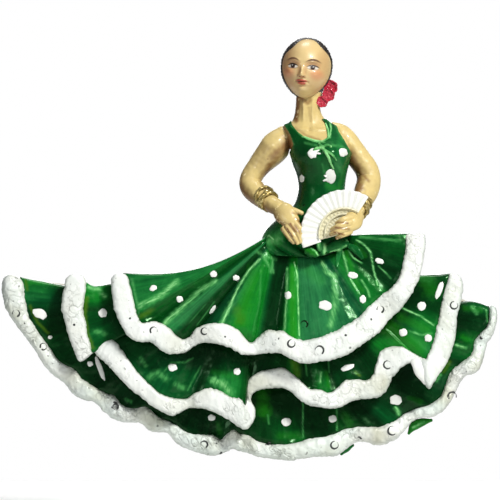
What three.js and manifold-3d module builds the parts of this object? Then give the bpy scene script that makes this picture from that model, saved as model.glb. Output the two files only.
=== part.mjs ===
// A flat-backed resin souvenir magnet: a dancer with a fan, in a polka-dot dress with three flounces.
// Millimetres, +Z up. The front of the relief faces -Y, and the face of the round magnet on its back
// is the plane Y = 0, centred on the origin. X runs to the right as the front is looked at.
import * as THREE from "three";
import Module from "manifold-3d";
import { mergeVertices } from "three/addons/utils/BufferGeometryUtils.js";

const wasm = await Module();
wasm.setup();

// ---- Driving dimensions -------------------------------------------------------------------------

const GAP = 0.3; // between neighbouring pieces
const BACK_PLANE = -0.5; // Y of the flat back: the magnet stands this far proud of it
const MAGNET = { radius: 12.5, thickness: 3 };
const GLUE = { radius: 11, thickness: 0.4 };
const RECESS = { clearance: 0.4, depth: MAGNET.thickness + GLUE.thickness + 2 * GAP + BACK_PLANE };
const CORE_FRONT = -5.6; // Y of the backing's first, widest step
const MIDDLE_STEP_FRONT = -8.3; // the step that carries the middle flounce
const UPPER_STEP_FRONT = -10.4; // the step that carries the upper skirt
const STEP_BITE = 1; // each step reaches this far into the one behind it
const STEP_INSET = 1; // and starts this far inside the root line of the flounce that hangs there
const SKIRT_MIDDLE = { x: 4, z: 12 }; // what the root lines are drawn in towards
// The backing's top edge, right to left, behind the skirt and the hips.
const SHOULDERS = [[29, 11], [27.4, 17], [19, 17.4], [3, 17], [-4, 12.8], [-13, 10.2], [-30, 9.6]];
const SHOULDER_TOP = 17.4;

// Hem lines, left to right: x, z and how far a flute stands forward of the flounce's plain front.
const UPPER_HEM = [
  [-23.2, 11.5, -1.5], [-23, 7.6, -0.6], [-22, 4, 0.2], [-20.2, 1.8, 0.8], [-17.6, 1.4, -0.2],
  [-15.1, 0, 0.3], [-12.6, -0.9, 1.1], [-10.1, 0.5, -0.3], [-7.6, 1.3, -1], [-4.7, 0.9, 0.5],
  [-2.2, -0.4, 1], [0, -1.4, 1.1], [2.5, -0.5, -0.6], [5, -0.2, -1.2], [7.6, -1.1, 0.3],
  [10.4, -1.8, 1.2], [13.7, -1.4, 1.3], [16.9, -0.2, 0.9], [20.2, 1.8, 0.2], [23, 4.3, 0.4],
  [25.6, 6.7, 0.1], [27.9, 9.5, -0.4], [29, 13, -0.6], [29.5, 16.2, -1.2], [29.5, 18.7, -1.8],
];
const MIDDLE_HEM = [
  [-31.3, 11.2, -1.2], [-31.7, 7.2, -0.4], [-31.3, 3.6, 0.3], [-30.4, 0.4, 0.8], [-29.4, -1.7, 0.6],
  [-27.6, -2.6, -1.2], [-25.9, -2.1, 0.2], [-23.8, -3.6, 0.7], [-21.1, -6.5, 0.6], [-18, -9.4, 0.6],
  [-15.3, -11.3, 0.9], [-13, -11.5, 0.7], [-10.8, -11.2, 0], [-8.6, -10.4, -0.7], [-6.3, -10.6, -0.5],
  [-3.6, -11.9, 0.4], [-1.3, -13.5, 1.3], [0, -11.7, 0.3], [1.4, -7.9, -1.2], [4, -6.8, -1.3],
  [6.3, -7.4, -0.6], [8.3, -9, 0.3], [10.4, -10.1, 0.8], [13.5, -10.4, 1.1], [16.2, -9.9, 0.7],
  [18.4, -8.8, 0], [20.9, -8.6, -0.1], [23, -7.9, 0.2], [24.1, -5.4, -0.6], [25.2, -3.2, -1],
  [27.4, -3, -0.8], [29.5, -3.9, 0], [31.7, -5, 1], [33.6, -4.5, 0.8], [34.9, -1.8, 0.3],
  [35.6, 1.8, 0], [36.4, 5.4, -0.3], [36.9, 8.6, -0.7], [37.1, 11.5, -1.2],
];
const LOWER_HEM = [
  [-42.8, 11.2, -1.4], [-42.5, 8.1, -0.8], [-41.4, 4.7, -0.2], [-39.6, 1.4, 0.1], [-37.4, -1.8, 0],
  [-35.5, -4.5, 0.3], [-33.1, -6.5, -0.2], [-31.3, -8.1, 0.2], [-28.8, -9.7, 0.6], [-26.3, -10.6, 0],
  [-23.8, -12.2, 0.4], [-20.9, -13.1, 0.3], [-18.7, -13.9, -0.4], [-16.6, -15.1, 0.1],
  [-14.4, -16.2, 0], [-11.9, -18, 0.6], [-9, -18.7, 0.9], [-6.3, -18.9, 0.8], [-4.3, -18, -0.2],
  [-2.5, -17.6, -0.6], [0, -18.5, 0], [3.2, -19.6, 0.5], [7.2, -20, 0.8], [10.8, -19.6, 0.5],
  [14.4, -19.1, 0.3], [17.6, -18, -0.2], [20.5, -16.9, -0.4], [23.4, -16.9, 0.2], [26.3, -16.2, 0.3],
  [28.8, -15.1, 0.1], [31.3, -13.7, -0.4], [33.8, -12.4, 0.2], [36, -10.1, 0.5], [37.1, -7.2, -0.3],
  [39.2, -5, -0.5], [41, -2.2, 0.6], [41.9, 0.4, -0.3], [43.4, 3.2, 0.4], [43.4, 6.3, -0.6],
];

// Root lines, where each flounce is gathered on to the one above it: x and z, left to right.
const UPPER_ROOT = [
  [1.4, 16.9], [2.5, 15.6], [4.7, 14.5], [9, 14.2], [13.5, 14.5], [16.7, 15.8], [18.7, 17.6],
];
const MIDDLE_ROOT = [
  [-20.7, 9.9], [-19.4, 4.5], [-15.3, 2.2], [-9, 1.8], [0, 0.9],
  [10.8, 0.4], [18.9, 3.2], [24.3, 7.7], [27, 11.5],
];
const LOWER_ROOT = [
  [-29.2, 9], [-27.7, 2.2], [-23.4, -2.7], [-16.2, -6.8], [-9, -8.1], [0, -8.6],
  [9, -8.6], [18, -8.1], [27, -4], [32, 0], [34.2, 4], [34.9, 5.8],
];

// Each flounce: its plain front at the root and at the hem, its wall, and its trim. back is the Y of
// a flat back, where the flounce lies on the backing; without it the back follows the front.
// sag is how far its left and right side edges hang below the straight line from root to hem.
const FLOUNCES = {
  upper: {
    hem: UPPER_HEM, root: UPPER_ROOT, rootFront: -12.2, hemFront: -14.9, wall: 1.7,
    trimHalf: 1.55, sag: [2.2, 0.4],
  },
  middle: {
    hem: MIDDLE_HEM, root: MIDDLE_ROOT, rootFront: -10.0, hemFront: -12, wall: 1.5,
    trimHalf: 1.6, sag: [0.5, 0.4],
  },
  lower: {
    hem: LOWER_HEM, root: LOWER_ROOT, rootFront: -7.4, hemFront: -8.6, back: CORE_FRONT - GAP,
    trimHalf: 1.85, trimBack: -0.9, sag: [0.3, 0],
  },
};
const HEM_STEPS = 60; // facets along a hem
const DROP_STEPS = 3; // facets from root to hem
const TRIM_PROUD = 0.35; // a trim stands this far in front of its flounce
const TRIM_CROWN = 0.35; // and bulges this much more along its middle
const TRIM_BACK_WIDTH = 0.88; // the lowest trim's width at the flat back, as a share of its front's
const FLUTE_GROWTH = 1.3; // flutes grow from nothing at the root by this power of the drop
const SAG_REACH = 0.12; // the share of the hem over which a side edge's sag dies out

// Torso sections from the hips up: z, middle x, half width, front y and back y.
const TORSO_SECTIONS = [
  [14.2, 10, 8, -14.4, -2.6], [16, 10.3, 8.3, -15.8, -2.6], [17.8, 10.4, 7.9, -15.8, -2.6],
  [20, 10.8, 7, -15.2, -2.6], [22.5, 11.8, 5.5, -13.8, -3],
  [24.3, 12.6, 4.5, -12.8, -3.4], [27, 13, 3.95, -12.2, -3.8], [29.7, 12.8, 4.4, -12.8, -3.6],
  [32.4, 12.6, 5.1, -14, -3.2], [34.2, 12.8, 5.3, -14.2, -3], [36, 12.3, 5.1, -12.8, -2.8],
  [37.8, 11.3, 4.6, -11.2, -3.2], [39.2, 10.7, 3.6, -9.8, -3.8], [40, 10.6, 2.2, -8.8, -4.8],
];
const HIP_TOP = 22.6; // where the hip yoke stops and the bodice starts
// The neckline and armholes: everything under this line is bodice, everything above it is skin.
const NECKLINE = [
  [4.6, 41], [6.2, 38.4], [7.4, 36.6], [7.9, 35], [5, 33.4], [5, 22], [20, 22], [20, 33], [18.4, 34.2],
  [17, 35.9], [15.8, 37.5], [15.1, 41], [13.7, 41], [14.4, 38.1], [14.2, 36.8], [13.3, 35.7],
  [11.5, 35.9], [9.6, 36.6], [8.3, 37.6], [7.6, 41],
];

const HEAD = { centre: [10.4, -9.2, 48.6], radii: [4.5, 5, 5.6], tilt: 0.1, turn: 0.16 };
// As shares of the head's radii: how much it narrows and sets back towards the chin, and its nose.
const CHIN = { narrow: 0.3, curve: 1.8, setBack: 0.08, setForward: 0.3 };
const NOSE = { level: -0.2, width: 0.16, height: 0.2, depth: 0.14 };
// The slicked-back hair, and the blocks that cut it off along the hairline and at the nape.
const HAIR = {
  thickness: 0.75,
  face: { size: [14, 8, 16], lean: -0.42, forward: 4.6, down: 2.6 },
  nape: { size: [14, 14, 6], down: 6.4 },
};
const NECK_RADIUS = 1.8;
const NECK_PATH = [[10.9, -7.4, 37.6], [10.7, -7.6, 40.5], [10.5, -7.8, 44.2]];

// Limbs as centre lines with a radius at each point, from the shoulder down.
const RIGHT_ARM = {
  upper: {
    path: [[7.6, -7, 36.4], [5, -7, 36], [2.8, -6.8, 33.9], [0.9, -6.5, 31.5], [-0.2, -6.5, 29.6]],
    radii: [1.8, 2.25, 2, 1.75, 1.7],
  },
  lower: {
    path: [[-0.3, -6.7, 29.4], [0.4, -8.3, 26.9], [2.2, -11, 25], [3.7, -13, 24.1]],
    radii: [1.85, 2, 1.75, 1.3],
  },
};
const LEFT_ARM = {
  upper: {
    path: [[14.4, -7, 37], [16.6, -7, 36.9], [18.9, -6.8, 34.6], [20.7, -6.6, 32], [21.9, -6.6, 29.8]],
    radii: [1.6, 2, 1.95, 1.75, 1.7],
  },
  lower: {
    path: [[22, -6.8, 29.6], [22, -9, 26.8], [21.2, -12, 24.8], [20.2, -14.8, 22.8]],
    radii: [1.8, 1.9, 1.6, 1.25],
  },
};
// Each hand: a palm and its fingers, each with a flattening across the palm.
const RIGHT_HAND = {
  palm: {
    path: [[4.2, -13.3, 23.7], [5.6, -14.7, 22.3], [7, -15.6, 20.8]],
    radii: [1.3, 2, 1.7], flat: 0.55,
  },
  fingers: [
    { path: [[7.4, -15.8, 21.6], [8.8, -16.2, 20.4], [9.4, -16.2, 18.9]], radii: [0.7, 0.6, 0.45] },
    { path: [[7, -15.9, 20.8], [8.4, -16.4, 19.4], [9, -16.4, 17.7]], radii: [0.7, 0.62, 0.45] },
    { path: [[6.4, -15.8, 20.2], [7.6, -16.4, 18.6], [8.4, -16.5, 17]], radii: [0.7, 0.62, 0.45] },
    { path: [[5.7, -15.5, 19.9], [6.8, -16.2, 18.3], [7.4, -16.3, 17.2]], radii: [0.65, 0.55, 0.4] },
    { path: [[5.6, -14.6, 23.2], [7.4, -14.8, 23.6], [9, -14.9, 23.2]], radii: [0.7, 0.65, 0.45] },
  ],
};
const LEFT_HAND = {
  palm: {
    path: [[19.9, -15.3, 22.3], [18.8, -17.1, 21.3], [17.4, -17.8, 20.4]],
    radii: [1.25, 1.85, 1.5], flat: 0.6,
  },
  fingers: [
    { path: [[17.9, -17.8, 21.7], [16.2, -18.4, 21.5], [14.9, -17.9, 20.7]], radii: [0.7, 0.62, 0.45] },
    { path: [[17.6, -18, 20.8], [15.8, -18.6, 20.3], [14.3, -18, 19.5]], radii: [0.72, 0.64, 0.45] },
    { path: [[17.5, -17.9, 19.9], [15.8, -18.5, 19.2], [14.4, -17.9, 18.9]], radii: [0.7, 0.6, 0.45] },
  ],
};
// Bangles: a ring's middle, the direction of the wrist through it, and its radii.
const BANGLE = { ring: 2.15, wire: 0.36 };
const BANGLES = {
  right_bangle_upper: { centre: [2.7, -11.6, 24.7], along: [0.6, -0.74, -0.4] },
  right_bangle_lower: { centre: [3.4, -12.6, 24.2], along: [0.56, -0.75, -0.35] },
  left_bangle_upper: { centre: [21.2, -12.1, 24.8], along: [-0.28, -0.78, -0.56] },
  left_bangle_lower: { centre: [20.8, -13.2, 23.9], along: [-0.28, -0.78, -0.56] },
};

// The fan: a pleated leaf on sticks that fan out from a pivot under the left hand's fingers.
const FAN = {
  pivot: [16.9, -16, 19.2], from: 58, to: 199, pleats: 15, inner: 4.5, outer: 7.9,
  thickness: 0.55, pleatDepth: 0.28, stickWidth: 0.7, sticks: 11, hub: 1.1, lean: 0.06,
};
const STICK_END = 4; // degrees from the leaf's side edge to the middle of its first and last stick
const STICK_ROOT = { radius: 0.8, width: 0.4 }; // where a stick starts, and its share of the full width
const STICK_INSET = 0.1; // a stick lies this far inside the leaf's front and back

// The sash's bow on the left hip and the cord at the neckline: flattened strands, each a limb.
const SASH_BOW = [
  {
    path: [[15.2, -15.1, 18.4], [15.8, -15.6, 17.6], [16.6, -15.3, 16.8]],
    radii: [1, 1.25, 0.9], flat: 0.7,
  },
  {
    path: [[15.8, -15.4, 17.4], [14.4, -15.7, 15.6], [13.8, -15, 13.6]],
    radii: [0.5, 0.8, 0.6], flat: 0.5,
  },
  {
    path: [[15.9, -15.4, 17.3], [16, -15.2, 15], [16.6, -14.5, 12.9]],
    radii: [0.5, 0.85, 0.6], flat: 0.5,
  },
  {
    path: [[16.2, -15.2, 17.2], [18.2, -14.9, 15.6], [19.4, -14.1, 13.4]],
    radii: [0.5, 0.85, 0.6], flat: 0.5,
  },
  {
    path: [[16.2, -15.2, 17.6], [18.6, -14.7, 17.8], [20.6, -13.8, 15.8]],
    radii: [0.5, 0.9, 0.6], flat: 0.5,
  },
];
const NECKLINE_CORD = [
  {
    path: [[12.6, -13.6, 35.2], [13.6, -14.4, 33.6], [14.6, -14.1, 31.8], [15, -13.4, 30.6]],
    radii: [0.5, 0.6, 0.5, 0.4],
  },
  {
    path: [[12.8, -13.7, 35], [11.8, -14.3, 34], [10.9, -14, 33.4]],
    radii: [0.45, 0.5, 0.4],
  },
  {
    path: [[12.8, -13.7, 35], [14.2, -14, 34.4], [15.3, -13.6, 33.9]],
    radii: [0.45, 0.5, 0.4],
  },
];

const FLOWER = {
  centre: [14.5, -7.6, 44.5], petals: 6, petalRadius: 1.25, ring: [0.88, 1.65], heart: 0.9, depth: 0.8,
};
const BUN = { centre: [10.9, -2.5, 46.4], radii: [2.6, 1.8, 2.6] };

// ---- Solids -------------------------------------------------------------------------------------

const MERGE = 1e-4; // vertices nearer than this are one
const REACH = 60; // cutters reach this far from the origin, past the whole figure
const END_RING = 0.6; // a limb's end ring as a share of its radius there

// A closed geometry as a manifold-3d solid.
function solid(geometry) {
  const bare = geometry.clone();
  bare.deleteAttribute("normal");
  bare.deleteAttribute("uv");
  const merged = mergeVertices(bare, MERGE);
  return new wasm.Manifold(
    new wasm.Mesh({
      numProp: 3,
      vertProperties: new Float32Array(merged.attributes.position.array),
      triVerts: new Uint32Array(merged.index.array),
    }),
  );
}

// A solid back as a geometry. Specks that a cut leaves behind are dropped.
function geometryOf(manifold) {
  const pieces = manifold.decompose().sort((a, b) => b.volume() - a.volume());
  const mesh = pieces[0].getMesh();
  const geometry = new THREE.BufferGeometry();
  geometry.setAttribute("position", new THREE.BufferAttribute(mesh.vertProperties, 3));
  geometry.setIndex(new THREE.BufferAttribute(mesh.triVerts, 1));
  geometry.computeVertexNormals();
  return geometry;
}

const join = (solids) => solids.reduce((a, b) => a.add(b));

// A solid grown by about the gap: itself and its copies moved along each axis.
function grown(manifold, gap = GAP) {
  const moves = [[gap, 0, 0], [-gap, 0, 0], [0, gap, 0], [0, -gap, 0], [0, 0, gap], [0, 0, -gap]];
  return join([manifold, ...moves.map((move) => manifold.translate(move))]);
}

// Moves every vertex of a geometry to where place puts it.
function shaped(geometry, place) {
  const position = geometry.attributes.position;
  const vertex = new THREE.Vector3();
  for (let i = 0; i < position.count; i++) {
    vertex.fromBufferAttribute(position, i);
    place(vertex);
    position.setXYZ(i, vertex.x, vertex.y, vertex.z);
  }
  return geometry;
}

// The y of a cylinder's own vertex is 0.5 at its start and -0.5 at its end.
const share = (y) => 0.5 - y;

function valueAt(values, t) {
  const place = t * (values.length - 1);
  const low = Math.min(Math.floor(place), values.length - 2);
  return THREE.MathUtils.lerp(values[low], values[low + 1], place - low);
}

// A round bar along a path, with a radius at each of the path's points and its end rings drawn in.
// flat squeezes it from front to back.
function limb({ path, radii, flat = 1 }, sides = 12, steps = 8) {
  const curve = new THREE.CatmullRomCurve3(path.map((point) => new THREE.Vector3(...point)));
  const across = new THREE.Vector3();
  const bar = new THREE.CylinderGeometry(1, 1, 1, sides, steps);
  return shaped(bar, (vertex) => {
    const t = share(vertex.y);
    const tangent = curve.getTangent(t);
    const front = new THREE.Vector3(0, -1, 0).addScaledVector(tangent, tangent.y).normalize();
    across.crossVectors(tangent, front);
    const isEnd = t < 0.01 || t > 0.99;
    const radius = valueAt(radii, t) * (isEnd ? END_RING : 1);
    const centre = curve.getPoint(t);
    centre.addScaledVector(front, vertex.x * radius * flat);
    centre.addScaledVector(across, vertex.z * radius);
    vertex.copy(centre);
  });
}

// An outline in X and Z, as a slab from y = back to y = front, which is the lower of the two.
function slab(outline, back, front) {
  const shape = new THREE.Shape(outline.map(([x, z]) => new THREE.Vector2(x, z)));
  const geometry = new THREE.ExtrudeGeometry(shape, { depth: back - front, bevelEnabled: false });
  geometry.rotateX(Math.PI / 2);
  return geometry.translate(0, back, 0);
}

// A round bar along Y from y = back to y = front, centred on X = Z = 0.
function disc(radius, back, front, sides = 48) {
  return new THREE.CylinderGeometry(radius, radius, back - front, sides).translate(0, (back + front) / 2, 0);
}

// A smooth line through points of x, z and how far each stands forward of a plain depth.
function lineOf(points, depth) {
  const places = points.map(([x, z, forward = 0]) => new THREE.Vector3(x, depth - forward, z));
  return new THREE.CatmullRomCurve3(places, false, "centripetal");
}

// ---- Flounces and trims -------------------------------------------------------------------------

// A flounce's frame at u along its hem: its root and hem points, and the unit drop between them.
function frameOf(flounce) {
  const hem = lineOf(flounce.hem, flounce.hemFront);
  const root = lineOf(flounce.root, flounce.rootFront);
  return (u) => {
    const foot = hem.getPoint(u);
    const head = root.getPointAt(u);
    const drop = new THREE.Vector3(foot.x - head.x, 0, foot.z - head.z).normalize();
    return { head, foot, drop };
  };
}

// How far a side edge hangs at u along the hem and v down the drop.
function sagAt([left, right], u, v) {
  const fade = (distance) => Math.max(0, 1 - distance / SAG_REACH) ** 2;
  return (left * fade(u) + right * fade(1 - u)) * Math.sin(Math.PI * v);
}

// The front of a flounce between its root and the top of its trim.
function flounceFront(flounce, frame, u, v) {
  const { head, foot, drop } = frame(u);
  const edge = foot.clone().addScaledVector(drop, -(flounce.trimHalf - GAP / 2));
  edge.addScaledVector(drop, -GAP);
  const plain = THREE.MathUtils.lerp(flounce.rootFront, flounce.hemFront, Math.sqrt(v));
  const flute = (foot.y - flounce.hemFront) * v ** FLUTE_GROWTH;
  const point = head.clone().lerp(edge, v);
  point.y = plain + flute;
  point.z -= sagAt(flounce.sag, u, v);
  return point;
}

function flouncePanel(flounce) {
  const frame = frameOf(flounce);
  const sheet = new THREE.BoxGeometry(1, 1, 1, HEM_STEPS, 1, DROP_STEPS);
  return shaped(sheet, (vertex) => {
    const point = flounceFront(flounce, frame, vertex.x + 0.5, 0.5 - vertex.z);
    const isBack = vertex.y > 0;
    if (isBack) point.y = flounce.back ?? point.y + flounce.wall;
    vertex.copy(point);
  });
}

// The painted lace band along a hem, crowned along its middle.
function hemTrim(flounce) {
  const frame = frameOf(flounce);
  const band = new THREE.BoxGeometry(1, 1, 1, HEM_STEPS, 1, 2);
  return shaped(band, (vertex) => {
    const { foot, drop } = frame(vertex.x + 0.5);
    const across = -2 * vertex.z;
    const isBack = vertex.y > 0;
    const width = isBack && flounce.trimBack ? TRIM_BACK_WIDTH : 1;
    const half = flounce.trimHalf - (across < 0 ? GAP / 2 : 0);
    const point = foot.addScaledVector(drop, across * width * half);
    const crown = TRIM_CROWN * (1 - across ** 2);
    if (isBack) point.y = flounce.trimBack ?? point.y + flounce.wall;
    else point.y -= TRIM_PROUD + crown;
    vertex.copy(point);
  });
}

// ---- Backing, magnet and glue -------------------------------------------------------------------

// The line inside a flounce's trim, moved a further inset towards its root.
function innerLine(flounce, inset) {
  const frame = frameOf(flounce);
  const points = [];
  for (let i = 0; i <= 36; i++) {
    const { foot, drop } = frame(i / 36);
    foot.addScaledVector(drop, -(flounce.trimHalf + inset));
    points.push([foot.x, foot.z]);
  }
  return points;
}

function backing() {
  const middleOutline = [...LOWER_ROOT.map(inward), ...SHOULDERS.slice(1, -1)];
  const upperOutline = [...MIDDLE_ROOT.map(inward), ...SHOULDERS.slice(1, -2)];
  const base = slab([...innerLine(FLOUNCES.lower, GAP), ...SHOULDERS], BACK_PLANE, CORE_FRONT);
  const middle = slab(middleOutline, CORE_FRONT + STEP_BITE, MIDDLE_STEP_FRONT);
  const upper = slab(upperOutline, MIDDLE_STEP_FRONT + STEP_BITE, UPPER_STEP_FRONT);
  const recess = disc(MAGNET.radius + RECESS.clearance, 1, BACK_PLANE - RECESS.depth);
  return geometryOf(join([solid(base), solid(middle), solid(upper)]).subtract(solid(recess)));
}

// A root point moved towards the middle of the skirt, clear of the flounce that starts there.
function inward([x, z]) {
  const away = new THREE.Vector2(x - SKIRT_MIDDLE.x, z - SKIRT_MIDDLE.z);
  away.setLength(away.length() - STEP_INSET);
  return [SKIRT_MIDDLE.x + away.x, SKIRT_MIDDLE.z + away.y];
}

const magnet = () => disc(MAGNET.radius, 0, -MAGNET.thickness);

function magnetGlue() {
  const back = -MAGNET.thickness - GAP;
  return disc(GLUE.radius, back, back - GLUE.thickness);
}

// ---- Body ---------------------------------------------------------------------------------------

// The whole torso from the hips to the shoulders: stacked ovals with flat ends.
function torso() {
  const zs = TORSO_SECTIONS.map(([z]) => z);
  const steps = TORSO_SECTIONS.length - 1;
  const stack = new THREE.CylinderGeometry(1, 1, 1, 28, steps);
  return solid(
    shaped(stack, (vertex) => {
      const t = 1 - share(vertex.y);
      const [, middle, half, front, back] = TORSO_SECTIONS[Math.round(t * steps)];
      const depth = (back - front) / 2;
      vertex.set(middle + vertex.x * half, (front + back) / 2 - vertex.z * depth, valueAt(zs, t));
    }),
  );
}

const neck = () => solid(limb({ path: NECK_PATH, radii: [2.4, NECK_RADIUS, NECK_RADIUS] }, 16, 6));

// An outline as a cutter that reaches past the figure at the back and the front.
const cutter = (outline, front = -REACH) => solid(slab(outline, REACH, front));

// A cutter for everything from z = low to z = high.
function layer(low, high, front) {
  return cutter([[-REACH, low], [REACH, low], [REACH, high], [-REACH, high]], front);
}

// What the hip yoke is cut away for: the backing's upper step, and the skirt under its root line.
function underYoke() {
  const step = layer(0, SHOULDER_TOP + GAP, UPPER_STEP_FRONT - GAP);
  const [left, right] = [UPPER_ROOT[0][0], UPPER_ROOT.at(-1)[0]];
  const skirt = cutter([[left, 0], [right, 0], ...UPPER_ROOT.map(([x, z]) => [x, z + GAP]).reverse()]);
  return step.add(skirt);
}

// The head: an egg that narrows to the chin, with a small nose.
function head() {
  const egg = new THREE.SphereGeometry(1, 24, 16);
  shaped(egg, (vertex) => {
    const { x, y, z } = vertex;
    const low = Math.max(0, -y);
    const narrow = 1 - CHIN.narrow * low ** CHIN.curve;
    const setIn = 1 - low * (z < 0 ? CHIN.setForward : CHIN.setBack);
    const spread = (x / NOSE.width) ** 2 + ((y - NOSE.level) / NOSE.height) ** 2;
    const nose = Math.exp(-spread) * Math.max(0, z) * NOSE.depth;
    vertex.set(x * narrow, y, z * setIn + nose);
  });
  const [width, depth, height] = HEAD.radii;
  egg.scale(width, height, depth).rotateX(Math.PI / 2);
  egg.rotateZ(-HEAD.turn).rotateY(HEAD.tilt);
  return solid(egg.translate(...HEAD.centre));
}

// The slicked-back hair: a cap over the head's top and back, cut off at the hairline.
function hairCap(headSolid) {
  const [x, y, z] = HEAD.centre;
  const [width, depth, height] = HEAD.radii.map((radius) => radius + HAIR.thickness);
  const cap = new THREE.SphereGeometry(1, 20, 14).scale(width, depth, height).translate(x, y, z);
  const face = new THREE.BoxGeometry(...HAIR.face.size).rotateX(HAIR.face.lean);
  face.translate(x, y - HAIR.face.forward, z - HAIR.face.down);
  const nape = new THREE.BoxGeometry(...HAIR.nape.size).translate(x, y, z - HAIR.nape.down);
  return solid(cap).subtract(grown(headSolid)).subtract(solid(face)).subtract(solid(nape));
}

function ball([x, y, z], [width, depth, height], sides = 12) {
  return solid(new THREE.SphereGeometry(1, sides, sides - 4).scale(width, depth, height).translate(x, y, z));
}

function flower() {
  const { centre, petals, petalRadius, ring, heart, depth } = FLOWER;
  const parts = [ball(centre, [heart, heart / depth, heart], 10)];
  for (let i = 0; i < petals; i++) {
    const angle = (2 * Math.PI * i) / petals;
    const [x, z] = [ring[0] * Math.cos(angle), ring[1] * Math.sin(angle)];
    const middle = [centre[0] + x, centre[1], centre[2] + z];
    parts.push(ball(middle, [petalRadius, petalRadius * depth, petalRadius], 9));
  }
  return join(parts);
}

const strands = (limbs) => join(limbs.map((strand) => solid(limb(strand, 6, 5))));

function hand({ palm, fingers }) {
  return join([solid(limb(palm, 10, 5)), ...fingers.map((finger) => solid(limb(finger, 6, 4)))]);
}

function bangle({ centre, along }) {
  const ring = new THREE.TorusGeometry(BANGLE.ring, BANGLE.wire, 6, 20);
  const turn = new THREE.Quaternion().setFromUnitVectors(
    new THREE.Vector3(0, 0, 1),
    new THREE.Vector3(...along).normalize(),
  );
  return ring.applyQuaternion(turn).translate(...centre);
}

// ---- Fan ----------------------------------------------------------------------------------------

// A point of the fan's own plane, leaning out at the top, at an angle and a radius from the pivot.
function fanPoint(degrees, radius, forward) {
  const angle = THREE.MathUtils.degToRad(degrees);
  const [x, y, z] = FAN.pivot;
  const up = radius * Math.sin(angle);
  return new THREE.Vector3(x + radius * Math.cos(angle), y - forward + up * FAN.lean, z + up);
}

function fanLeaf() {
  const steps = FAN.pleats * 2;
  const leaf = new THREE.BoxGeometry(1, 1, 1, steps, 1, 1);
  return shaped(leaf, (vertex) => {
    const t = 0.5 - vertex.x;
    const radius = vertex.z > 0 ? FAN.outer : FAN.inner + GAP;
    const fold = Math.round(t * steps) % 2 ? FAN.pleatDepth : 0;
    const forward = (vertex.y < 0 ? FAN.thickness : 0) + fold;
    vertex.copy(fanPoint(THREE.MathUtils.lerp(FAN.from, FAN.to, t), radius, forward));
  });
}

function fanSticks() {
  const [x, y, z] = FAN.pivot;
  const hub = disc(FAN.hub, y, y - FAN.thickness, 16).translate(x, 0, z);
  const parts = [solid(hub)];
  for (let i = 0; i < FAN.sticks; i++) {
    const middle = THREE.MathUtils.lerp(FAN.from + STICK_END, FAN.to - STICK_END, i / (FAN.sticks - 1));
    const stick = new THREE.BoxGeometry(1, 1, 1);
    shaped(stick, (vertex) => {
      const isOuter = vertex.z > 0;
      const radius = isOuter ? FAN.inner : STICK_ROOT.radius;
      const width = FAN.stickWidth * (isOuter ? 1 : STICK_ROOT.width);
      const angle = middle - THREE.MathUtils.radToDeg((vertex.x * width) / radius);
      vertex.copy(fanPoint(angle, radius, vertex.y < 0 ? FAN.thickness - STICK_INSET : STICK_INSET));
    });
    parts.push(solid(stick));
  }
  return join(parts);
}

// ---- Scene graph --------------------------------------------------------------------------------

const PAINT = {
  green: new THREE.MeshStandardMaterial({ color: 0x0d6b2e, roughness: 0.22, metalness: 0 }),
  white: new THREE.MeshStandardMaterial({ color: 0xeeeee6, roughness: 0.38, metalness: 0 }),
  skin: new THREE.MeshStandardMaterial({ color: 0xe8c68a, roughness: 0.4, metalness: 0 }),
  hair: new THREE.MeshStandardMaterial({ color: 0x191412, roughness: 0.35, metalness: 0 }),
  red: new THREE.MeshStandardMaterial({ color: 0xc41f3a, roughness: 0.35, metalness: 0 }),
  gold: new THREE.MeshStandardMaterial({ color: 0xa88b43, roughness: 0.35, metalness: 0.8 }),
  fan: new THREE.MeshStandardMaterial({ color: 0xf4f1e6, roughness: 0.45, metalness: 0 }),
  resin: new THREE.MeshStandardMaterial({ color: 0xe4dfd0, roughness: 0.6, metalness: 0 }),
  ferrite: new THREE.MeshStandardMaterial({ color: 0x2b2b2d, roughness: 0.55, metalness: 0.1 }),
  glue: new THREE.MeshStandardMaterial({ color: 0xd8c9a0, roughness: 0.3, metalness: 0 }),
};

const figurine = new THREE.Group();

function addPiece(name, geometry, material) {
  const mesh = new THREE.Mesh(geometry, material);
  mesh.name = name;
  figurine.add(mesh);
}

function addSolid(name, manifold, material) {
  addPiece(name, geometryOf(manifold), material);
}

addPiece("backing", backing(), PAINT.resin);
addPiece("magnet", magnet(), PAINT.ferrite);
addPiece("magnet_glue", magnetGlue(), PAINT.glue);

for (const [name, flounce] of Object.entries(FLOUNCES)) {
  addPiece(`${name}_flounce`, flouncePanel(flounce), PAINT.green);
  addPiece(`${name}_trim`, hemTrim(flounce), PAINT.white);
}

const fan = { leaf: solid(fanLeaf()), sticks: fanSticks() };
addSolid("fan_leaf", fan.leaf, PAINT.fan);
addSolid("fan_sticks", fan.sticks, PAINT.fan);
const fanSeat = grown(fan.leaf.add(fan.sticks));

const torsoSolid = torso();
const neckSolid = neck();
const bodiceCut = cutter(NECKLINE);
const aboveHips = layer(HIP_TOP + GAP, REACH);
const bodice = torsoSolid.intersect(bodiceCut).intersect(aboveHips);
const chest = torsoSolid.add(neckSolid).intersect(aboveHips).subtract(grown(bodiceCut));
const yoke = torsoSolid.intersect(layer(0, HIP_TOP)).subtract(underYoke());
addSolid("hip_yoke", yoke, PAINT.green);
addSolid("bodice", bodice, PAINT.green);
const dress = grown(yoke.add(bodice).add(chest));
const skirt = grown(solid(flouncePanel(FLOUNCES.upper)));
addSolid("sash_bow", strands(SASH_BOW).subtract(dress).subtract(skirt).subtract(fanSeat), PAINT.green);
addSolid("neckline_cord", strands(NECKLINE_CORD).subtract(dress), PAINT.green);

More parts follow.
